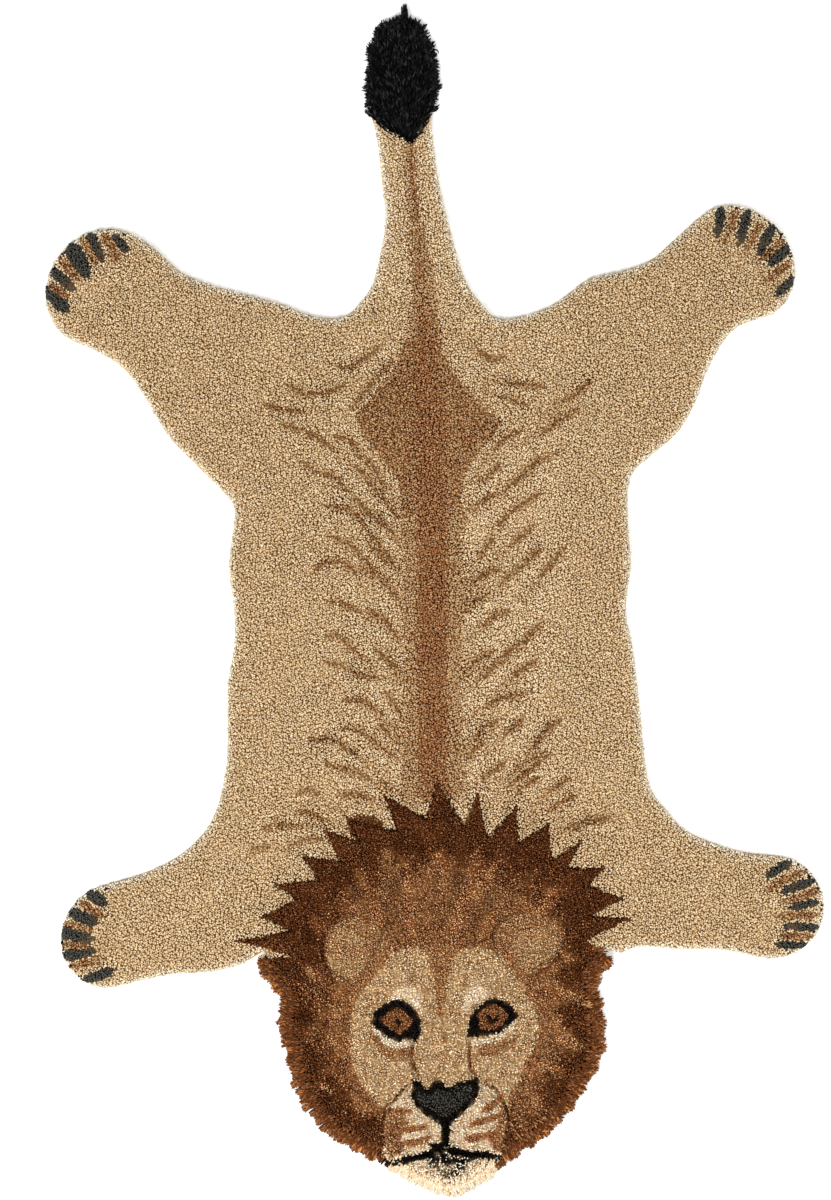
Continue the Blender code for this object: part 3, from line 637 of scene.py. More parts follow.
class RugPileSettings(bpy.types.PropertyGroup):
    body_spacing: length("Body spacing", 1.72 * MM, "Distance between the yarns of the coat")
    head_spacing: length("Head spacing", 1.55 * MM, "Distance between the yarns of the mane and face")
    edge_spacing: length("Edge spacing", 1.3 * MM, "Distance between the yarns along the rug's edge")
    yarn_radius: length("Yarn radius", 1.08 * MM, "Half the thickness of one cut yarn")
    head_share: bpy.props.FloatProperty(
        name="Head yarns", default=0.72, description="Thickness of the head's yarns as a share of the coat's"
    )
    depth: length("Depth", 4.6 * MM, "How much of the yarn stands above the backing's top")
    reach: length("Reach", 0.8 * MM, "How far a yarn's end leans away from its root")
    rim_reach: length("Rim reach", 3.2 * MM, "How much further the yarns at the edge lean out")
    rim_width: length("Rim width", 9.0 * MM, "How far in from the edge they do")
    uneven: length("Uneven", 0.3 * MM, "How much the yarns' ends differ in height")


class RugShagSettings(bpy.types.PropertyGroup):
    yarn_radius: length("Yarn radius", 0.70 * MM, "Half the thickness of one long yarn")
    spacing: length("Spacing", 1.45 * MM, "Distance between long yarns")
    chin_share: bpy.props.FloatProperty(
        name="Chin yarns", default=1.25, description="Thickness of the chin's yarns as a share of the others'"
    )
    head_reach: length("Head reach", 4.2 * MM, "How far a long yarn lies over along the head's rim")
    chin_reach: length("Chin reach", 3.2 * MM, "How far one does along the chin")
    tuft_reach: length("Tail reach", 6.5 * MM, "How far a long yarn lies over on the tail tuft")
    band: length("Band", 5.0 * MM, "How far in from the rim's strip long yarns are planted")
    rim_yarns: bpy.props.IntProperty(
        name="Rim yarns", default=7, min=1, description="Yarns that end at each corner of a lock"
    )


class RugBackingSettings(bpy.types.PropertyGroup):
    inset: length("Inset", 1.6 * MM, "How far the backing stays inside the rug's edge")
    lowest: length("Lowest", 1.6 * MM, "Thickness of the bare backing at the edge")
    canvas: bpy.props.FloatVectorProperty(
        name="Canvas", default=(0.52, 0.45, 0.34), size=3, subtype="COLOR",
        description="The cloth on the back",
    )


class RugStageSettings(bpy.types.PropertyGroup):
    floor: bpy.props.FloatVectorProperty(
        name="Floor", default=(0.93, 0.93, 0.93), size=3, subtype="COLOR", description="Pale studio floor"
    )
    key_power: bpy.props.FloatProperty(
        name="Key", default=115.0, description="Large lamp high up at the lower left", unit="POWER"
    )
    fill_power: bpy.props.FloatProperty(
        name="Fill", default=45.0, description="Lamp at the lower right", unit="POWER"
    )
    sky: bpy.props.FloatProperty(name="Sky", default=0.72, min=0.0, description="Light from all round")


# --- Flat geometry ---
def to_chart(points):
    """Places in the frame, in metres, as squares on the chart."""
    return np.stack([CHART_ZERO[0] + points[:, 0] / SQUARE, CHART_ZERO[1] - points[:, 1] / SQUARE], axis=1)


def to_frame(squares):
    """Squares on the chart as places in the frame, in metres."""
    squares = np.asarray(squares, float)
    return np.stack([squares[:, 0] - CHART_ZERO[0], CHART_ZERO[1] - squares[:, 1]], axis=1) * SQUARE


def inside(points, ring):
    """Whether each point lies in a closed ring."""
    x, y = points[:, 0], points[:, 1]
    ring = np.asarray(ring, float)
    found = np.zeros(len(points), bool)
    for (ax, ay), (bx, by) in zip(ring, np.roll(ring, -1, axis=0)):
        if ay != by:
            found ^= ((ay > y) != (by > y)) & (x < ax + (y - ay) * (bx - ax) / (by - ay))
    return found


def to_line(points, line):
    """How far each point is from an open line, and how far along the line its nearest place is, 0 to 1."""
    line = np.asarray(line, float)
    runs = np.linalg.norm(np.diff(line, axis=0), axis=1)
    starts = np.concatenate([[0.0], np.cumsum(runs)])
    best = np.full(len(points), np.inf)
    along = np.zeros(len(points))
    for a, b, run, start in zip(line, line[1:], runs, starts):
        t = np.clip((points - a) @ (b - a) / max(run * run, SHORTEST**2), 0, 1)
        away = np.linalg.norm(points - a - t[:, None] * (b - a), axis=1)
        nearer = away < best
        best[nearer] = away[nearer]
        along[nearer] = (start + t[nearer] * run) / starts[-1]
    return best, along


def on_stroke(points, line, width):
    """Whether each point lies in a brush stroke that thins at both ends."""
    away, along = to_line(points, line)
    swell = np.sqrt(np.clip(1 - np.abs(2 * along - 1) ** 4, STROKE_END, 1))
    return away < width / 2 * swell


def run_in(line):
    """A stroke of the ribs carried on towards the stripe, the way it ends there."""
    line = np.asarray(line, float)
    if line[0, 0] > CHART_ZERO[0]:
        line = line[::-1]
    way = line[-1] - line[-2]
    return [*line, line[-1] + RUN_LENGTH * way / np.linalg.norm(way)]


def in_oval(points, x, y, half_width, half_height):
    """0 at an oval's middle, 1 on its edge."""
    return np.hypot((points[:, 0] - x) / half_width, (points[:, 1] - y) / half_height)


def between(points, rows):
    """Whether each point lies between the left and right edges that the rows give."""
    table = np.array(rows, float)
    y = points[:, 1]
    left, right = (np.interp(y, table[:, 0], table[:, column]) for column in (1, 2))
    return (y > table[0, 0]) & (y < table[-1, 0]) & (points[:, 0] > left) & (points[:, 0] < right)


def mane_ring():
    """The ring of squares that the mane and the face lie in."""
    corners = [corner for row in MANE_SPIKES for corner in (row[:2], row[2:])]
    return to_chart(np.array([*corners, *ROUND_HEAD], float) * MM)


def spike_axes():
    """The middle line of each of the mane's spikes, from its tip in, on the chart."""
    table = np.array(MANE_SPIKES, float)
    tips, notches = table[:, :2], table[:, 2:]
    before = np.concatenate([notches[:1], notches[:-1]])
    return zip(to_chart(tips * MM), to_chart((before + notches) / 2 * MM))


def units(vectors):
    """The vectors, each given a length of 1."""
    return vectors / np.maximum(np.linalg.norm(vectors, axis=1), SHORTEST)[:, None]


def left_of(ways):
    """Each way turned a quarter to the left."""
    return np.stack([-ways[:, 1], ways[:, 0]], axis=1)


def flow(points):
    """A gentle wandering direction for the pile to lean in, as unit vectors."""
    # Waves a few centimetres long, whose crests wander. They are counted in mm a radian.
    x, y = points[:, 0] / MM, points[:, 1] / MM
    across = np.sin(x / 17 + 1.9 * np.sin(y / 31)) + 0.7 * np.sin(y / 11 + x / 23 + 2.1)
    down = np.sin(y / 19 + 1.4 * np.sin(x / 27 + 1)) + 0.7 * np.sin(x / 9 - y / 29)
    return units(np.stack([across, down - 0.35], axis=1))


# --- The chart read off at each tuft ---
def mixes_at(squares, rng, away=None):
    """The number of the mix that is tufted at each place, away metres in from the rug's edge."""
    crisp, brushed, soft, blended = (
        squares + rng.normal(0, spread, squares.shape) for spread in (CRISP, BRUSHED, SOFT, BLENDED)
    )
    chance = rng.random(len(squares))
    found = np.full(len(squares), MIX_NAMES.index("coat"))

    def lay(mix, where):
        found[where] = MIX_NAMES.index(mix)

    for share, ring in PALE_AREAS:
        lay("pale", inside(soft, ring) & (chance < share))
    for mix, places, lines, width, share in (
        ("pale", crisp, [np.add(line, PALE_SIDE) for line in RIBS], RIB_WIDTH, PALE_SHARE),
        ("ridge", soft, RIB_ROOTS, ROOT_WIDTH, ROOT_SHARE),
        ("rib_fade", soft, [run_in(line) for line in RIBS], RUN_WIDTH, RUN_SHARE),
        ("rib_shade", brushed, RIBS, SHADE_WIDTH, SHADE_SHARE),
        ("rib", crisp, RIBS, RIB_WIDTH, RIB_SHARE),
    ):
        for line in lines:
            lay(mix, on_stroke(places, line, width) & (chance < share))
    on_ridge, on_core, on_tail = between(soft, RIDGE), between(soft, RIDGE_CORE), soft[:, 1] < TAIL_END
    lay("ridge", on_ridge)
    lay("tail_ridge", on_ridge & on_tail & (chance < TAIL_PALER))
    lay("saddle", inside(crisp, SADDLE))
    lay("ridge_core", on_core & (~on_tail | (chance < TAIL_CORE)))
    if away is not None:
        for x, y, radius in PAW_ENDS:
            lay("paw_edge", (in_oval(squares, x, y, radius, radius) < 1) & (away < PAW_EDGE))
    for mix, width, *ends in TOES:
        lay(mix, on_stroke(crisp, (ends[:2], ends[2:]), width + TOE_SWELL * (mix == "claw")))

    in_mane = inside(crisp, mane_ring()) | (in_oval(crisp, *ROUND_LOCK) < 1)
    for tip, root in spike_axes():
        in_mane |= to_line(squares, (tip, root))[0] < SPIKE_TIP
    lay("mane", in_mane)
    for mix, ring in MANE_AREAS:
        lay(mix, in_mane & inside(blended, ring))
    for *ends, width in MANE_STREAKS:
        lay("mane_streak", on_stroke(crisp, (ends[:2], ends[2:]), width) & (chance < STREAK_SHARE))
    for mix, *oval in OVALS:
        lay(mix, in_oval(crisp, *oval) < 1)
    for mix, ring in FACE_AREAS:
        lay(mix, inside(crisp, ring))
    for mix, width, line in FACE_STROKES:
        lay(mix, on_stroke(crisp, line, width))
    for mix, ring in FEATURES:
        lay(mix, inside(crisp, ring))
    return found


def combed_shade(points):
    """How much lighter or darker the mane is at each place: streaks that run out from the head's middle."""
    x, y = ((points - np.array(HEAD_MIDDLE)) / MM).T
    turn, out = np.arctan2(y, x), np.hypot(x, y)
    # Three sets of streaks, each of which wanders in its own way
    streaks = (
        np.sin(19 * turn + 1.7 * np.sin(out / 19) + 0.4)
        + np.sin(31 * turn - 1.3 * np.sin(out / 13 + 1) + 2.0)
        + 0.8 * np.sin(53 * turn + out / 17)
    )
    return np.exp(COMBED_SPREAD * (streaks - 0.3) * np.interp(out, *zip(*COMBED_BAND)))


def dyed(mixes, rng):
    """The colour of each tuft, picked from its mix and a little lighter or darker than the yarn."""
    chance = rng.random(len(mixes))
    colours = np.zeros((len(mixes), 3))
    for number, name in enumerate(MIX_NAMES):
        mine = np.flatnonzero(mixes == number)
        yarns, shares = zip(*MIXES[name])
        pick = np.searchsorted(np.cumsum(shares) / sum(shares), chance[mine], side="right")
        palette = np.array([YARNS[yarn] for yarn in yarns])
        colours[mine] = palette[np.minimum(pick, len(yarns) - 1)]
    return colours * np.exp(rng.normal(0, DYE_SPREAD, len(mixes)))[:, None]


# --- The solids' tops and edges ---
def merged(node):
    """A closed copy of a CAD node's mesh, as a bmesh."""
    bm = bmesh.new()
    bm.from_mesh(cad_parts[node].data)
    bmesh.ops.remove_doubles(bm, verts=bm.verts, dist=SAME)
    bmesh.ops.recalc_face_normals(bm, faces=bm.faces)
    return bm


class Ground:
    """The top of one or more CAD nodes, to plant on."""

    def __init__(self, *nodes):
        bm = bmesh.new()  # each node adds to the same mesh
        for node in nodes:
            bm.from_mesh(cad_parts[node].data)
        self.tree = BVHTree.FromBMesh(bm)
        bm.free()

    def gap(self, points, height):
        """How far each place, taken at a height, is from the nodes."""
        return np.array([self.tree.find_nearest(Vector((x, y, height)))[3] for x, y in points])

    def height(self, points):
        """The top's height at each place, or 0 where nothing is below."""
        found = np.zeros(len(points))
        for i, (x, y) in enumerate(points):
            hit = self.tree.ray_cast(Vector((x, y, OVER)), DOWN)[0]
            if hit:
                found[i] = hit.z
        return found


def outline(node):
    """The edges round a node's flat underside, as pairs of ends, and the way out across each."""
    bm = merged(node)
    ends, normals = [], []
    for edge in bm.edges:
        upright = [face for face in edge.link_faces if abs(face.normal.z) < UPRIGHT]
        if max(vertex.co.z for vertex in edge.verts) < SAME and len(upright) == 1:
            ends.append([vertex.co.xy for vertex in edge.verts])
            normals.append(upright[0].normal.xy.normalized())
    bm.free()
    return np.array(ends, float), np.array(normals, float)


def waves(points):
    """How far the pile draws back from the rug's edge at each place, in small uneven waves."""
    # A long wave and a short one, both bent, in radians a mm
    x, y = points[:, 0] / MM, points[:, 1] / MM
    long_wave = np.sin(0.45 * x + 0.50 * y + 1.3 * np.sin(0.13 * x + 0.4))
    return EDGE_WAVE * (1 + 0.6 * long_wave + 0.4 * np.sin(0.95 * x - 0.88 * y + 2 * np.sin(0.21 * y))) / 2


def from_edges(points, edges):
    """How far each point is from the nearest of the edges, and the unit vector towards it."""
    best = np.full(len(points), np.inf)
    nearest = np.zeros_like(points)
    for a, b in edges:
        run = b - a
        t = np.clip((points - a) @ run / (run @ run), 0, 1)
        at = a + t[:, None] * run
        away = np.linalg.norm(points - at, axis=1)
        nearer = away < best
        best[nearer] = away[nearer]
        nearest[nearer] = at[nearer]
    return best, units(nearest - points)


def scattered(low, high, spacing, rng):
    """Places about spacing apart over a rectangle: slanting rows like honeycomb, each place a little off."""
    middle = (np.asarray(low) + high) / 2
    half = np.linalg.norm(np.asarray(high) - low) / 2
    rows = np.arange(-half, half, spacing * math.sqrt(3) / 2)
    columns = np.arange(-half, half, spacing)
    x, y = np.meshgrid(columns, rows)
    x = x + np.where(np.arange(len(rows)) % 2, spacing / 2, 0.0)[:, None]
    cos, sin = math.cos(ROWS_TURN), math.sin(ROWS_TURN)
    places = np.stack([cos * x.ravel() - sin * y.ravel(), sin * x.ravel() + cos * y.ravel()], axis=1) + middle
    places += rng.uniform(-ROW_SPREAD, ROW_SPREAD, places.shape) * spacing
    return places[((places > low) & (places < high)).all(axis=1)]


# --- Yarns as meshes ---
class Yarns:
    """Many bent three-sided strands that end in points, gathered and then made one mesh."""

    def __init__(self, rings, girth):
        self.rings, self.girth = rings, girth
        self.parts = []

    def add(self, roots, bends, tips, radii, colours):
        """Gathers some strands: where each starts, is drawn towards and ends, and its radius and colour."""
        self.parts.append([np.asarray(part, float) for part in (roots, bends, tips, radii, colours)])

    def arrays(self, rng):
        """Corners, triangles and their places in a cell, and each corner's colour and share of the way."""
        roots, bends, tips, radii, colours = (np.concatenate(part) for part in zip(*self.parts))
        count = len(roots)
        axis = units(tips - roots)
        side = units(np.cross(axis, rng.normal(size=(count, 3))))
        other = np.cross(axis, side)
        corners, along = [roots], [0.0]
        for t, girth in zip(self.rings, self.girth):
            middle = (1 - t) ** 2 * roots + 2 * t * (1 - t) * bends + t * t * tips
            for turn in np.arange(SIDES) * 2 * math.pi / SIDES:
                reach = radii[:, None] * girth
                corners.append(middle + reach * (math.cos(turn) * side + math.sin(turn) * other))
                along.append(t)
        corners = np.stack([*corners, tips], axis=1)
        along.append(1.0)
        triangles, cell = self.faces()
        per_yarn = corners.shape[1]
        triangles = triangles[None] + per_yarn * np.arange(count)[:, None, None]
        return {
            "corners": corners.reshape(-1, 3),
            "triangles": triangles.reshape(-1, 3),
            "cells": np.broadcast_to(cell, (count, *cell.shape)),
            "colours": np.repeat(colours, per_yarn, axis=0),
            "along": np.tile(along, count),
        }

    def faces(self):
        """One yarn's triangles, and where each of their corners lies in its cell."""
        levels = (0.0, *self.rings, 1.0)
        last = (len(self.rings) - 1) * SIDES + 1
        triangles, cell = [], []
        for i in range(SIDES):
            left, right = i / SIDES, (i + 1) / SIDES
            after = (i + 1) % SIDES
            triangles.append((0, 1 + after, 1 + i))
            cell.append((((left + right) / 2, 0), (right, levels[1]), (left, levels[1])))
            for ring, (low, high) in enumerate(zip(levels[1:-2], levels[2:-1])):
                a, b = 1 + ring * SIDES + i, 1 + ring * SIDES + after
                triangles += [(a, b, b + SIDES), (a, b + SIDES, a + SIDES)]
                cell.append(((left, low), (right, low), (right, high)))
                cell.append(((left, low), (right, high), (left, high)))
            triangles.append((last + i, last + after, last + SIDES))
            cell.append(((left, levels[-2]), (right, levels[-2]), ((left + right) / 2, 1)))
        return np.array(triangles), np.array(cell, float)


def core_arrays(node, inset, lowest, colour):
    """A CAD node's mesh drawn in a little, as what the long yarns grow out of."""
    bm = merged(node)
    bmesh.ops.triangulate(bm, faces=bm.faces)
    bm.normal_update()
    high = np.array([vertex.co for vertex in bm.verts if vertex.co.z > STRIP_TOP])
    for vertex in bm.verts:
        vertex.co -= vertex.normal * inset
        gaps = np.linalg.norm(high[:, :2] - vertex.co.xy, axis=1)
        if gaps.min() > LOCK_ROOT:
            vertex.co.xy = vertex.co.xy.lerp(Vector(high[gaps.argmin(), :2]), LOCK_CUT)
    for vertex in bm.verts:
        vertex.co.z = max(vertex.co.z, 0.0)
    bm.verts.index_update()
    corners = np.array([vertex.co for vertex in bm.verts])
    flat = corners[:, 2] < lowest
    corners[flat, 2] = np.where(corners[flat, 2] < lowest / 2, 0.0, corners[flat, 2])
    triangles = np.array([[vertex.index for vertex in face.verts] for face in bm.faces])
    bm.free()
    cell = np.array([((0, 0), (1, 0), (1, 1))], float)
    return {
        "corners": corners,
        "triangles": triangles,
        "cells": np.broadcast_to(cell, (len(triangles), 1, 3, 2)),
        "colours": np.tile(colour, (len(corners), 1)),
        # painted shade: along is 0 at every corner, so the whole core takes the darker root colour
        "along": np.zeros(len(corners)),
    }


def on_map(*groups):
    """The cells of all the groups side by side on one square map, as u, v for each triangle's corners."""
    count = sum(len(group["cells"]) for group in groups)
    columns = math.ceil(math.sqrt(count))
    first, found = 0, []
    for group in groups:
        numbers = first + np.arange(len(group["cells"]))
        corner = np.stack([numbers % columns, numbers // columns], axis=1)[:, None, None, :]
        shrunk = CELL_MARGIN + (1 - 2 * CELL_MARGIN) * group["cells"]
        found.append(((corner + shrunk) / columns).reshape(-1, 2))
        first += len(group["cells"])
    return np.concatenate(found)


def add_object(name, data):
    """A new object in the scene."""
    made = bpy.data.objects.new(name, data)
    bpy.context.scene.collection.objects.link(made)
    return made


# The colours carry the yarns' dye, and on the pile also painted light at the edge and painted shade in carved
# lines
def dye_mesh(mesh, colours):
    """Gives each corner of a mesh its yarn's colour."""
    opaque = np.column_stack([colours, np.ones(len(colours))]).astype(np.float32)
    mesh.attributes.new("dye_and_painted_light", "FLOAT_COLOR", "POINT").data.foreach_set("color", opaque.ravel())


def piece_from(name, material, *groups):
    """One object from groups of arrays."""
    starts = np.cumsum([0, *(len(group["corners"]) for group in groups)])
    corners, colours, along = (
        np.concatenate([group[part] for group in groups]) for part in ("corners", "colours", "along")
    )
    triangles = np.concatenate([group["triangles"] + start for group, start in zip(groups, starts)])
    mesh = bpy.data.meshes.new(name)
    mesh.vertices.add(len(corners))
    mesh.vertices.foreach_set("co", corners.astype(np.float32).ravel())
    mesh.loops.add(triangles.size)
    mesh.loops.foreach_set("vertex_index", triangles.astype(np.int32).ravel())
    mesh.polygons.add(len(triangles))
    mesh.polygons.foreach_set("loop_start", np.arange(0, triangles.size, 3, dtype=np.int32))
    mesh.polygons.foreach_set("use_smooth", np.ones(len(triangles), bool))
    mesh.update(calc_edges=True)
    uv = mesh.uv_layers.new(name="OFBake")
    uv.data.foreach_set("uv", on_map(*groups).astype(np.float32).ravel())
    dye_mesh(mesh, colours)
    mesh.attributes.new("along", "FLOAT", "POINT").data.foreach_set("value", along.astype(np.float32))
    mesh.materials.append(material)
    made = add_object(name, mesh)
    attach(made, "root")
    return made


# --- Materials ---
def fill(tree, node, inputs):
    """Gives a node's inputs, by name or number, their values or the sockets that feed them."""
    for slot, value in inputs.items():
        if isinstance(value, bpy.types.NodeSocket):
            tree.links.new(value, node.inputs[slot])
        else:
            node.inputs[slot].default_value = value


def add_node(tree, kind, inputs, **settings):
    """A new shader node with its settings and inputs."""
    made = tree.nodes.new("ShaderNode" + kind)
    for name, value in settings.items():
        setattr(made, name, value)
    fill(tree, made, inputs)
    return made


def spun_group():
    """Node group: wool's fibres and painted shade between its roots, darker and warmer towards them. Puts out
    a colour and a height.
    """
    name = "Spun Wool With Root Shade"
    if name in bpy.data.node_groups:
        return bpy.data.node_groups[name]
    group = bpy.data.node_groups.new(name, "ShaderNodeTree")
    for label, way, kind, default in (
        ("Dye And Painted Light", "INPUT", "NodeSocketColor", (0.5, 0.5, 0.5, 1)),
        ("Along", "INPUT", "NodeSocketFloat", 1.0),
        ("Root Shade Depth", "INPUT", "NodeSocketFloat", 1.8),
        ("Root Shade", "INPUT", "NodeSocketFloat", 0.8),
        ("Fibre Size", "INPUT", "NodeSocketFloat", 1800.0),
        ("Fibre Contrast", "INPUT", "NodeSocketFloat", 0.25),
        ("Colour", "OUTPUT", "NodeSocketColor", None),
        ("Height", "OUTPUT", "NodeSocketFloat", None),
    ):
        socket = group.interface.new_socket(label, in_out=way, socket_type=kind)
        if default is not None:
            socket.default_value = default
    given = group.nodes.new("NodeGroupInput").outputs

    def maths(operation, *values):
        return add_node(group, "Math", dict(enumerate(values)), operation=operation).outputs[0]

    def scaled(colour, scale):
        return add_node(group, "VectorMath", {0: colour, "Scale": scale}, operation="SCALE").outputs[0]

    place = add_node(group, "TexCoord", {}).outputs["Object"]
    noise = {"Detail": 3.0, "Vector": place, "Scale": given["Fibre Size"]}
    fibres = add_node(group, "TexNoise", noise).outputs["Fac"]
    grain = maths("ADD", maths("MULTIPLY", maths("SUBTRACT", fibres, 0.5), given["Fibre Contrast"]), 1.0)
    deep = add_node(group, "Gamma", {"Color": given["Dye And Painted Light"], "Gamma": given["Root Shade Depth"]}).outputs["Color"]
    warm = add_node(group, "VectorMath", {0: deep, 1: ROOT_SHADE_TINT}, operation="MULTIPLY").outputs[0]
    # painted shade: the colour darkens and warms from the yarn's end down to its root
    root_to_end = {
        "Factor": maths("POWER", given["Along"], 2.0),
        "A": scaled(warm, given["Root Shade"]),
        "B": given["Dye And Painted Light"],
    }
    strand = add_node(group, "Mix", root_to_end, data_type="RGBA").outputs["Result"]
    fill(group, group.nodes.new("NodeGroupOutput"), {"Colour": scaled(strand, grain), "Height": fibres})
    return group


def shader_of(name):
    """A new material with its Principled shader."""
    made = bpy.data.materials.new(name)
    made.use_nodes = True
    return made, made.node_tree.nodes["Principled BSDF"]


def wool(name, root_shade_depth, root_shade, roughness, fibre_contrast=0.3, specular=0.0):
    """Dyed wool yarn, whose colour each strand carries with it, with painted shade towards its roots."""
    made, shader = shader_of(name)
    tree = made.node_tree
    dye_and_painted_light, along = (
        add_node(tree, "Attribute", {}, attribute_name=attribute).outputs[socket]
        for attribute, socket in (("dye_and_painted_light", "Color"), ("along", "Fac"))
    )
    yarn = {
        "Dye And Painted Light": dye_and_painted_light,
        "Along": along,
        "Root Shade Depth": root_shade_depth,
        "Root Shade": root_shade,
        "Fibre Contrast": fibre_contrast,
    }
    spun = add_node(tree, "Group", yarn, node_tree=spun_group()).outputs
    bump = add_node(tree, "Bump", {"Strength": 0.5, "Distance": 0.2 * MM, "Height": spun["Height"]})
    fill(tree, shader, {
        "Base Color": spun["Colour"],
        "Normal": bump.outputs["Normal"],
        "Roughness": roughness,
        "Specular IOR Level": specular,
    })
    return made


def canvas(colour):
    """Plain-woven cotton on the rug's back."""
    made, shader = shader_of("backing_canvas")
    tree = made.node_tree
    place = add_node(tree, "TexCoord", {}).outputs["Object"]
    warp, weft = (
        add_node(tree, "TexWave", {"Vector": place, **WEAVE}, bands_direction=direction).outputs["Fac"]
        for direction in ("X", "Y")
    )
    woven = add_node(tree, "Math", {0: warp, 1: weft}, operation="MULTIPLY").outputs[0]
    ramp = add_node(tree, "ValToRGB", {"Fac": woven})
    for stop, share in zip(ramp.color_ramp.elements, (WEAVE_SHADE, 1.0)):
        stop.color = (*(share * part for part in colour), 1)
    bump = add_node(tree, "Bump", {"Distance": 0.3 * MM, "Height": woven})
    fill(tree, shader, {
        "Base Color": ramp.outputs["Color"],
        "Normal": bump.outputs["Normal"],
        "Roughness": 0.95,
    })
    return made


# --- Pieces ---
def backing(settings, pile):
    """The backing cloth with the pile's packed roots: the rug's solid, drawn in under the yarns' ends."""
    rng = np.random.default_rng(SEED)
    bm = merged("pelt_pile")
    edges = [
        edge
        for edge in bm.edges
        if min(vertex.co.z for vertex in edge.verts) > MM
        and max(face.normal.z for face in edge.link_faces) > TOP_FACING
    ]
    bmesh.ops.subdivide_edges(bm, edges=edges, cuts=1, use_grid_fill=True)
    bm.normal_update()
    for vertex in bm.verts:
        height = 0.0 if vertex.co.z < SAME else max(vertex.co.z - pile.depth, settings.lowest)
        vertex.co = (*(vertex.co.xy - vertex.normal.xy * settings.inset), height)
    bmesh.ops.triangulate(bm, faces=bm.faces)
    bm.normal_update()
    for face in bm.faces:
        face.smooth = face.normal.z > BACK_FACING
        face.material_index = 0 if face.smooth else 1
    mesh = bpy.data.meshes.new("backing_cloth")
    bm.to_mesh(mesh)
    bm.free()
    places = np.array([vertex.co for vertex in mesh.vertices])
    dye_mesh(mesh, dyed(mixes_at(to_chart(places[:, :2]), rng), rng))
    # painted shade: this mesh has no along attribute, so all of the backing's top takes the darker, warmer
    # root colour
    mesh.materials.append(wool("packed_roots", root_shade_depth=1.5, root_shade=1.05, roughness=0.95))
    mesh.materials.append(canvas(settings.canvas))
    made = add_object("backing_cloth", mesh)
    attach(made, "root")
    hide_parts("pelt_pile")
    return made


def region_of(points, heads):
    """The name of the pile piece that each place belongs to."""
    x, y = points[:, 0] / MM, points[:, 1] / MM
    part = np.where(y > HIPS, "pile_hind", np.where(y < SHOULDERS, "pile_fore", "pile_back"))
    names = np.char.add(part, np.where(x < 0, "_left", "_right"))
    names[(y > TAIL_BASE) & (np.abs(x - TAIL_MIDDLE) < TAIL_HALF)] = "pile_tail"
    names[heads] = "pile_mane"
    names[heads & (in_oval(to_chart(points), *FACE_MIDDLE) < 1)] = "pile_face"
    return names


def with_painted_edge_light(colours, share):
    """The yarns' colours with painted light: paler by a share where they lean out at the edge. Dark ones stay
    as they are.
    """
    pale = np.clip(colours[:, :1] / FULL_EDGE_LIGHT, 0, 1)
    return colours * (1 + share[:, None] * pale * EDGE_PAINTED_LIGHT)


def at_edge(settings, edges, normals, shag, rng):
    """Short yarns that lean out over the rug's edge, in two rows, where no shag joins it."""
    starts, ways = [], []
    for (a, b), normal in zip(edges, normals):
        count = max(1, round(np.linalg.norm(b - a) / settings.edge_spacing))
        share = (np.arange(count) + 0.5) / count
        starts.append(a + share[:, None] * (b - a))
        ways.append(np.tile(normal, (count, 1)))
    line, way = np.concatenate(starts), np.concatenate(ways)
    free = shag.gap(line, SHAG_LEVEL) > SHAG_CLEAR
    line, way = line[free], way[free]
    count = len(line)
    rows = []
    for low, high, inset in EDGE_ROWS:
        tips = line - way * ((inset + rng.uniform(*EDGE_STRAY, (count, 1))) * MM + waves(line)[:, None])
        tips = tips + left_of(way) * rng.normal(0, EDGE_SIDE, (count, 1)) * MM
        roots = tips - way * rng.uniform(*EDGE_LENGTHS, (count, 1)) * MM
        rows.append((roots, tips, rng.uniform(low, high, count) * MM))
    roots, tips, height = (np.concatenate(part) for part in zip(*rows))
    roots = np.column_stack([roots, np.maximum(height - EDGE_DROP, EDGE_LOWEST)])
    tips = np.column_stack([tips, height])
    return roots, (roots + tips) / 2 + (0, 0, EDGE_ARCH), tips


def carved_depth(ground, places, tops):
    """How deep the shears have cut each place below what lies round it, in mm."""
    sides = ((1, 0), (-1, 0), (0, 1), (0, -1))
    around = [ground.height(places + CARVE_PROBE * np.array(side)) for side in sides]
    return np.clip((np.median(around, axis=0) - tops) / MM, 0, CARVE_MOST)


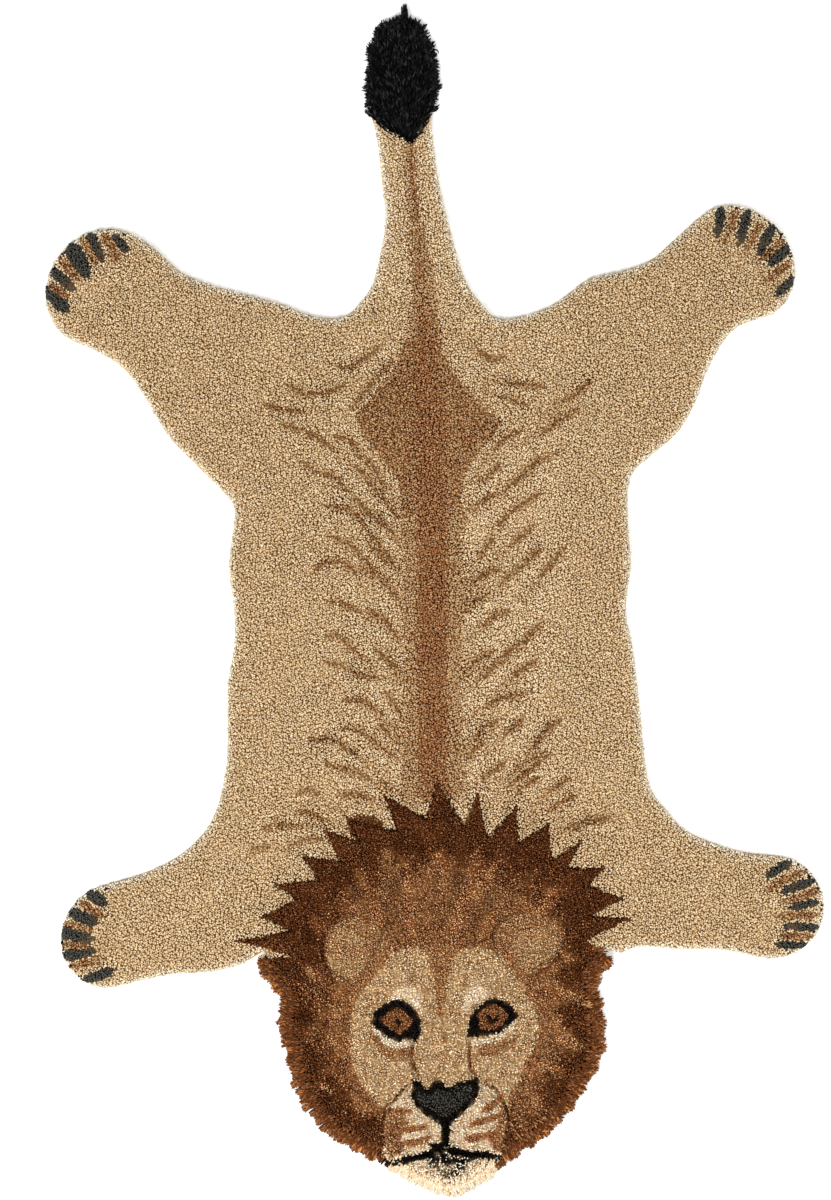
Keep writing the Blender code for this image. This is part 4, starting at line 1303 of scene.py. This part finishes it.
def cut_pile(settings):
    """Every cut yarn of the coat, mane and face, planted on the solid's top."""
    rng = np.random.default_rng(SEED + 1)
    ground = Ground("pelt_pile")
    shag = Ground("mane_fringe_left", "mane_fringe_right", "chin_fringe", "tail_tuft")
    edges, normals = outline("pelt_pile")
    low, high = edges.min(axis=(0, 1)), edges.max(axis=(0, 1))
    ring = mane_ring()
    body = scattered(low, high, settings.body_spacing, rng)
    head = scattered(low, high, settings.head_spacing, rng)
    body = body[~inside(to_chart(body), ring)]
    head = head[inside(to_chart(head), ring)]
    places = np.concatenate([body, head])
    heads = np.arange(len(places)) >= len(body)
    tops = ground.height(places)
    away, outward = from_edges(places, edges)
    kept = (tops > MM) & (away > BARE_EDGE + waves(places))
    places, heads, tops, away, outward = (part[kept] for part in (places, heads, tops, away, outward))
    count = len(places)
    open_edge = shag.gap(places, STRIP_TOP) >= away + SHAG_BESIDE
    carved = carved_depth(ground, places, tops) * (away > settings.rim_width)

    lean = flow(places) + rng.normal(0, LEAN_SPREAD, (count, 2))
    lean[heads] += HEAD_COMB * units(places - np.array(HEAD_MIDDLE))[heads]
    reach = settings.reach * rng.uniform(*REACHES, count) * np.where(heads, HEAD_LEAN, 1.0)
    rim = np.clip(1 - away / settings.rim_width, 0, 1) * open_edge
    offset = units(lean) * (reach * (1 - RIM_LEVEL * rim))[:, None]
    offset += outward * (settings.rim_reach * rim)[:, None]

    z = tops + rng.normal(0, 1, count) * settings.uneven - TRIM - CARVE_TRIM * carved * MM
    tips = np.column_stack([places, np.maximum(z, TIP_LOWEST)])
    roots = np.column_stack([places - offset, np.maximum(z - settings.depth, ROOT_LOWEST)])
    bends = (roots + tips) / 2
    bends[:, :2] -= BEND_BACK * offset
    radii = settings.yarn_radius * rng.uniform(*GIRTHS, count) * np.where(heads, settings.head_share, 1.0)

    mixes = mixes_at(to_chart(places), rng, away)
    colours = dyed(mixes, rng)
    colours[heads] *= np.exp(rng.normal(0, HEAD_SPREAD, heads.sum()))[:, None]
    maned = np.isin(mixes, [number for number, name in enumerate(MIX_NAMES) if name.startswith("mane")])
    colours[maned] *= combed_shade(places[maned])[:, None]
    # painted shade in the carved lines
    colours *= (1 - CARVED_SHADE * np.minimum(carved, 1))[:, None]
    # painted light: yarns near an open edge are made paler, as if they caught the light there
    colours = with_painted_edge_light(colours, np.clip(1 - away / EDGE_LIGHT_BAND, 0, 1) * open_edge)

    edge = at_edge(settings, edges, normals, shag, rng)
    edge_places = edge[2][:, :2]
    edge_squares = to_chart(edge_places)
    edge_count = len(edge_squares)
    edge_mixes = mixes_at(edge_squares, rng, np.full(edge_count, MM))
    # painted light: the rows over the edge are all made paler in full
    edge_colours = with_painted_edge_light(dyed(edge_mixes, rng), np.ones(edge_count))
    names = np.concatenate([region_of(places, heads), region_of(edge_places, inside(edge_squares, ring))])
    strands = [np.concatenate(pair) for pair in zip((roots, bends, tips), edge)]
    strands.append(np.concatenate([radii, np.full(edge_count, EDGE_GIRTH * settings.yarn_radius)]))
    strands.append(np.minimum(np.concatenate([colours, edge_colours]), PALEST))

    material = wool("cut_pile", root_shade_depth=1.5, root_shade=1.12, roughness=0.9)
    for name in sorted(set(names)):
        yarns = Yarns(PILE_RINGS, PILE_GIRTH)
        yarns.add(*(part[names == name] for part in strands))
        piece = piece_from(name, material, yarns.arrays(rng))


def corners_of(node):
    """Where a CAD node's corners are."""
    bm = merged(node)
    found = np.array([vertex.co for vertex in bm.verts])
    bm.free()
    return found


def rim_yarns(node, yarns, radius, per_corner, colours_for, rng):
    """Long yarns that run out from a node's strip and end where its locks do."""
    corners = corners_of(node)
    ends = corners[np.abs(corners[:, 2] - LOCK_TIP) < LOCK_SAME]
    highs = corners[corners[:, 2] > STRIP_TOP]
    gaps = np.linalg.norm(ends[:, None, :2] - highs[None, :, :2], axis=2)
    nearest = np.repeat(highs[gaps.argmin(axis=1)], per_corner, axis=0)
    ends = np.repeat(ends, per_corner, axis=0)
    count = len(ends)
    out = ends[:, :2] - nearest[:, :2]
    span = np.linalg.norm(out, axis=1)[:, None]
    out = out / span
    layer = rng.random((count, 1))

    def by_layer(first, added):
        return first + added * layer

    start = nearest[:, :2] - out * by_layer(*RIM_SETBACK) * MM
    start = start + left_of(out) * rng.normal(0, RIM_SPREAD, (count, 1)) * MM
    stray = by_layer(*RIM_STRAY) * rng.normal(0, 1, (count, 1)) * MM
    stop = ends[:, :2] + out * (RIM_PAST - span * RIM_SHORT * layer) + left_of(out) * stray
    roots = np.column_stack([start, nearest[:, 2:] * by_layer(*RIM_ROOT)])
    height = by_layer(RIM_END[0], nearest[:, 2:] * RIM_END[1])
    tips = np.column_stack([stop, height * rng.uniform(*RIM_ENDS, (count, 1))])
    bends = (roots + tips) / 2
    bends[:, 2:] += by_layer(*RIM_ARCH) * MM
    yarns.add(roots, bends, tips, radius * rng.uniform(*RIM_GIRTHS, count), colours_for(stop))


def cover_yarns(node, yarns, spacing, radius, reach, band, colours_for, rng, lean_of):
    """Yarns over a node's top and over a band of the pelt beside it, so that no join shows."""
    ground, mine = Ground(node, "pelt_pile"), Ground(node)
    corners = corners_of(node)
    low, high = corners[:, :2].min(axis=0) - band, corners[:, :2].max(axis=0) + band
    places = scattered(low, high, spacing, rng)
    gaps = np.where(mine.height(places) > 0, 0.0, mine.gap(places, COVER_LEVEL))
    places, gaps = (part[gaps < band] for part in (places, gaps))
    tops = ground.height(places)
    kept = (tops > COVER_LOWEST) & (rng.random(len(places)) < 1 - COVER_THINNED * gaps / band)
    kept &= (gaps == 0) | inside(to_chart(places), mane_ring()) | (node == "tail_tuft")
    places, tops = places[kept], tops[kept]
    count = len(places)
    lean = units(lean_of(places) + rng.normal(0, COVER_SPREAD, (count, 2)))
    offset = lean * (reach * rng.uniform(*COVER_REACHES, count))[:, None]
    ends = places + COVER_END * offset
    below = ground.height(ends)
    drop = np.where(below > 0, below, rng.uniform(*COVER_DROP, count) * tops)
    tips = np.column_stack([ends, np.minimum(drop, tops) + rng.uniform(*COVER_LIFT, count) * MM])
    roots = np.column_stack([places + COVER_ROOT * offset, np.maximum(tops - COVER_DEPTH, MM)])
    bends = np.column_stack([places + COVER_BEND * offset, tops + rng.uniform(*COVER_ARCH, count) * MM])
    yarns.add(roots, bends, tips, radius * rng.uniform(*GIRTHS, count), colours_for(places))


def from_mix(name, rng):
    """A function that dyes the yarns at some places in one mix."""
    return lambda places: dyed(np.full(len(places), MIX_NAMES.index(name)), rng)


def from_chart(rng):
    """A function that dyes the yarns at some places as the chart says."""
    return lambda places: dyed(mixes_at(to_chart(places), rng), rng)


def away_from(middle):
    """A function that leans yarns away from a place."""
    return lambda places: units(places - np.array(middle))


def head_shag(settings, node, name, slot, rim_mix, core, reach, thicker=1.0, root_shade=0.95):
    """Long yarns along one stretch of the head's rim: those over the join, on top and at the locks."""
    rng = np.random.default_rng(SEED + sum(map(ord, name)))
    chart = from_chart(rng)
    yarns = Yarns(SHAG_RINGS, SHAG_GIRTH)
    radius, spacing = settings.yarn_radius * thicker, settings.spacing
    cover_yarns(node, yarns, spacing, radius, reach, settings.band, chart, rng, away_from(HEAD_MIDDLE))
    rim_yarns(node, yarns, radius, settings.rim_yarns, from_mix(rim_mix, rng) if rim_mix else chart, rng)
    material = wool(name + "_wool", root_shade_depth=1.2, root_shade=root_shade, roughness=0.85)
    inner = core_arrays(node, CORE_INSET, CORE_LOWEST, YARNS[core])
    made = piece_from(name, material, yarns.arrays(rng), inner)
    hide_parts(node)
    return made


def tail_shag(settings):
    """The black tuft: long yarns lying over each other from the tail out to its tip."""
    node = "tail_tuft"
    rng = np.random.default_rng(SEED + 3)
    low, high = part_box(node)
    root = ((low.x + high.x) / 2 + TUFT_ROOT[0], low.y - TUFT_ROOT[1])
    yarns = Yarns(SHAG_RINGS, SHAG_GIRTH)
    black = from_mix("tuft", rng)
    radius, spacing, reach = settings.yarn_radius, settings.spacing, settings.tuft_reach
    cover_yarns(node, yarns, spacing, radius, reach, TUFT_BAND, black, rng, away_from(root))
    rim_yarns(node, yarns, radius, settings.rim_yarns, black, rng)
    tips, bends, roots = (
        np.column_stack([to_frame(places), np.full(len(STRAYS), height)])
        for places, height in zip(zip(*STRAYS), STRAY_HEIGHTS)
    )
    yarns.add(roots, bends, tips, np.full(len(STRAYS), TUFT_STRAY * radius), black(tips[:, :2]))
    material = wool(
        "tail_shag_wool", root_shade_depth=1.2, root_shade=0.5, roughness=0.4, fibre_contrast=0.5, specular=0.04
    )
    inner = core_arrays(node, TUFT_INSET, CORE_LOWEST, YARNS["jet"])
    made = piece_from("tail_shag", material, yarns.arrays(rng), inner)
    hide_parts(node)
    return made


def stage(settings):
    """Pale floor, soft lamps and the camera that looks straight down."""
    bpy.ops.mesh.primitive_plane_add(size=FLOOR_SIZE, location=(0, 0, -FLOOR_GAP))
    floor = bpy.context.object
    floor.name = "floor"
    material, shader = shader_of("studio_floor")
    matt = {"Base Color": (*settings.floor, 1), "Roughness": 0.8, "Specular IOR Level": 0.1}
    fill(material.node_tree, shader, matt)
    floor.data.materials.append(material)
    for (name, (place, size)), power in zip(LAMPS.items(), (settings.key_power, settings.fill_power)):
        lamp = bpy.data.lights.new(name, "AREA")
        lamp.size = size
        lamp.energy = power
        made = add_object(name, lamp)
        made.location = place
        made.rotation_euler = (-Vector(place)).to_track_quat("-Z", "Y").to_euler()
    world = bpy.data.worlds.new("studio_sky")
    world.use_nodes = True
    sky = {"Color": (1, 1, 1, 1), "Strength": settings.sky}
    fill(world.node_tree, world.node_tree.nodes["Background"], sky)
    bpy.context.scene.world = world
    bpy.context.scene.view_settings.view_transform = "Standard"

    wide, high = PICTURE
    camera = bpy.data.cameras.new("camera")
    camera.sensor_width = SENSOR
    camera.lens = SENSOR * CAMERA_HEIGHT / (high * SQUARE)
    camera.clip_end = CAMERA_FAR
    made = add_object("camera", camera)
    made.location = (
        (wide / 2 - CHART_ZERO[0]) * SQUARE,
        (CHART_ZERO[1] - high / 2) * SQUARE,
        CAMERA_HEIGHT,
    )
    bpy.context.scene.camera = made


# --- Operators and panel ---
class RUG_OT_pile(bpy.types.Operator):
    """Plant the cut pile on its backing cloth"""

    bl_idname = "rug.pile"
    bl_label = "Backing and cut pile"

    def execute(self, context):
        scene = context.scene
        scene.rug_cloth = backing(scene.rug_backing, scene.rug_pile)
        cut_pile(scene.rug_pile)
        return {"FINISHED"}


class RUG_OT_shag(bpy.types.Operator):
    """Plant the long yarns round the head and on the tail"""

    bl_idname = "rug.shag"
    bl_label = "Shag"

    def execute(self, context):
        shag = context.scene.rug_shag
        mane = {"slot": "mane_wool", "rim_mix": "rim_lit", "core": "umber", "reach": shag.head_reach}
        chin = {"slot": "cream_wool", "rim_mix": None, "core": "cream", "reach": shag.chin_reach}
        for side in ("left", "right"):
            head_shag(shag, f"mane_fringe_{side}", f"mane_shag_{side}", **mane)
        head_shag(
            shag, "chin_fringe", "chin_shag", **chin, thicker=shag.chin_share, root_shade=CHIN_ROOT_SHADE
        )
        tail_shag(shag)
        return {"FINISHED"}


class RUG_OT_stage(bpy.types.Operator):
    """Add the floor, lamps and camera"""

    bl_idname = "rug.stage"
    bl_label = "Stage"

    def execute(self, context):
        stage(context.scene.rug_stage)
        return {"FINISHED"}


class RUG_PT_panel(bpy.types.Panel):
    bl_label = "Tufted Rug"
    bl_idname = "RUG_PT_panel"
    bl_space_type = "VIEW_3D"
    bl_region_type = "UI"
    bl_category = "Rug"

    def draw(self, context):
        scene = context.scene
        for settings, operators in PANEL_ROWS:
            group = getattr(scene, settings)
            for field in group.bl_rna.properties:
                if field.identifier not in {"rna_type", "name"}:
                    self.layout.prop(group, field.identifier)
            for operator in operators:
                self.layout.operator(operator)


PANEL_ROWS = (
    ("rug_backing", ()),
    ("rug_pile", ("rug.pile",)),
    ("rug_shag", ("rug.shag",)),
    ("rug_stage", ("rug.stage",)),
)
GROUPS = {
    "rug_backing": RugBackingSettings,
    "rug_pile": RugPileSettings,
    "rug_shag": RugShagSettings,
    "rug_stage": RugStageSettings,
}
CLASSES = (*GROUPS.values(), RUG_OT_pile, RUG_OT_shag, RUG_OT_stage, RUG_PT_panel)


def register():
    for made in CLASSES:
        bpy.utils.register_class(made)
    for name, group in GROUPS.items():
        setattr(bpy.types.Scene, name, bpy.props.PointerProperty(type=group))
    bpy.types.Scene.rug_cloth = bpy.props.PointerProperty(type=bpy.types.Object)


def unregister():
    del bpy.types.Scene.rug_cloth
    for name in GROUPS:
        delattr(bpy.types.Scene, name)
    for made in reversed(CLASSES):
        bpy.utils.unregister_class(made)


def main():
    register()
    bpy.ops.object.select_all(action="DESELECT")
    bpy.ops.rug.stage()
    bpy.ops.rug.pile()
    bpy.ops.rug.shag()


if __name__ == "__main__":
    main()
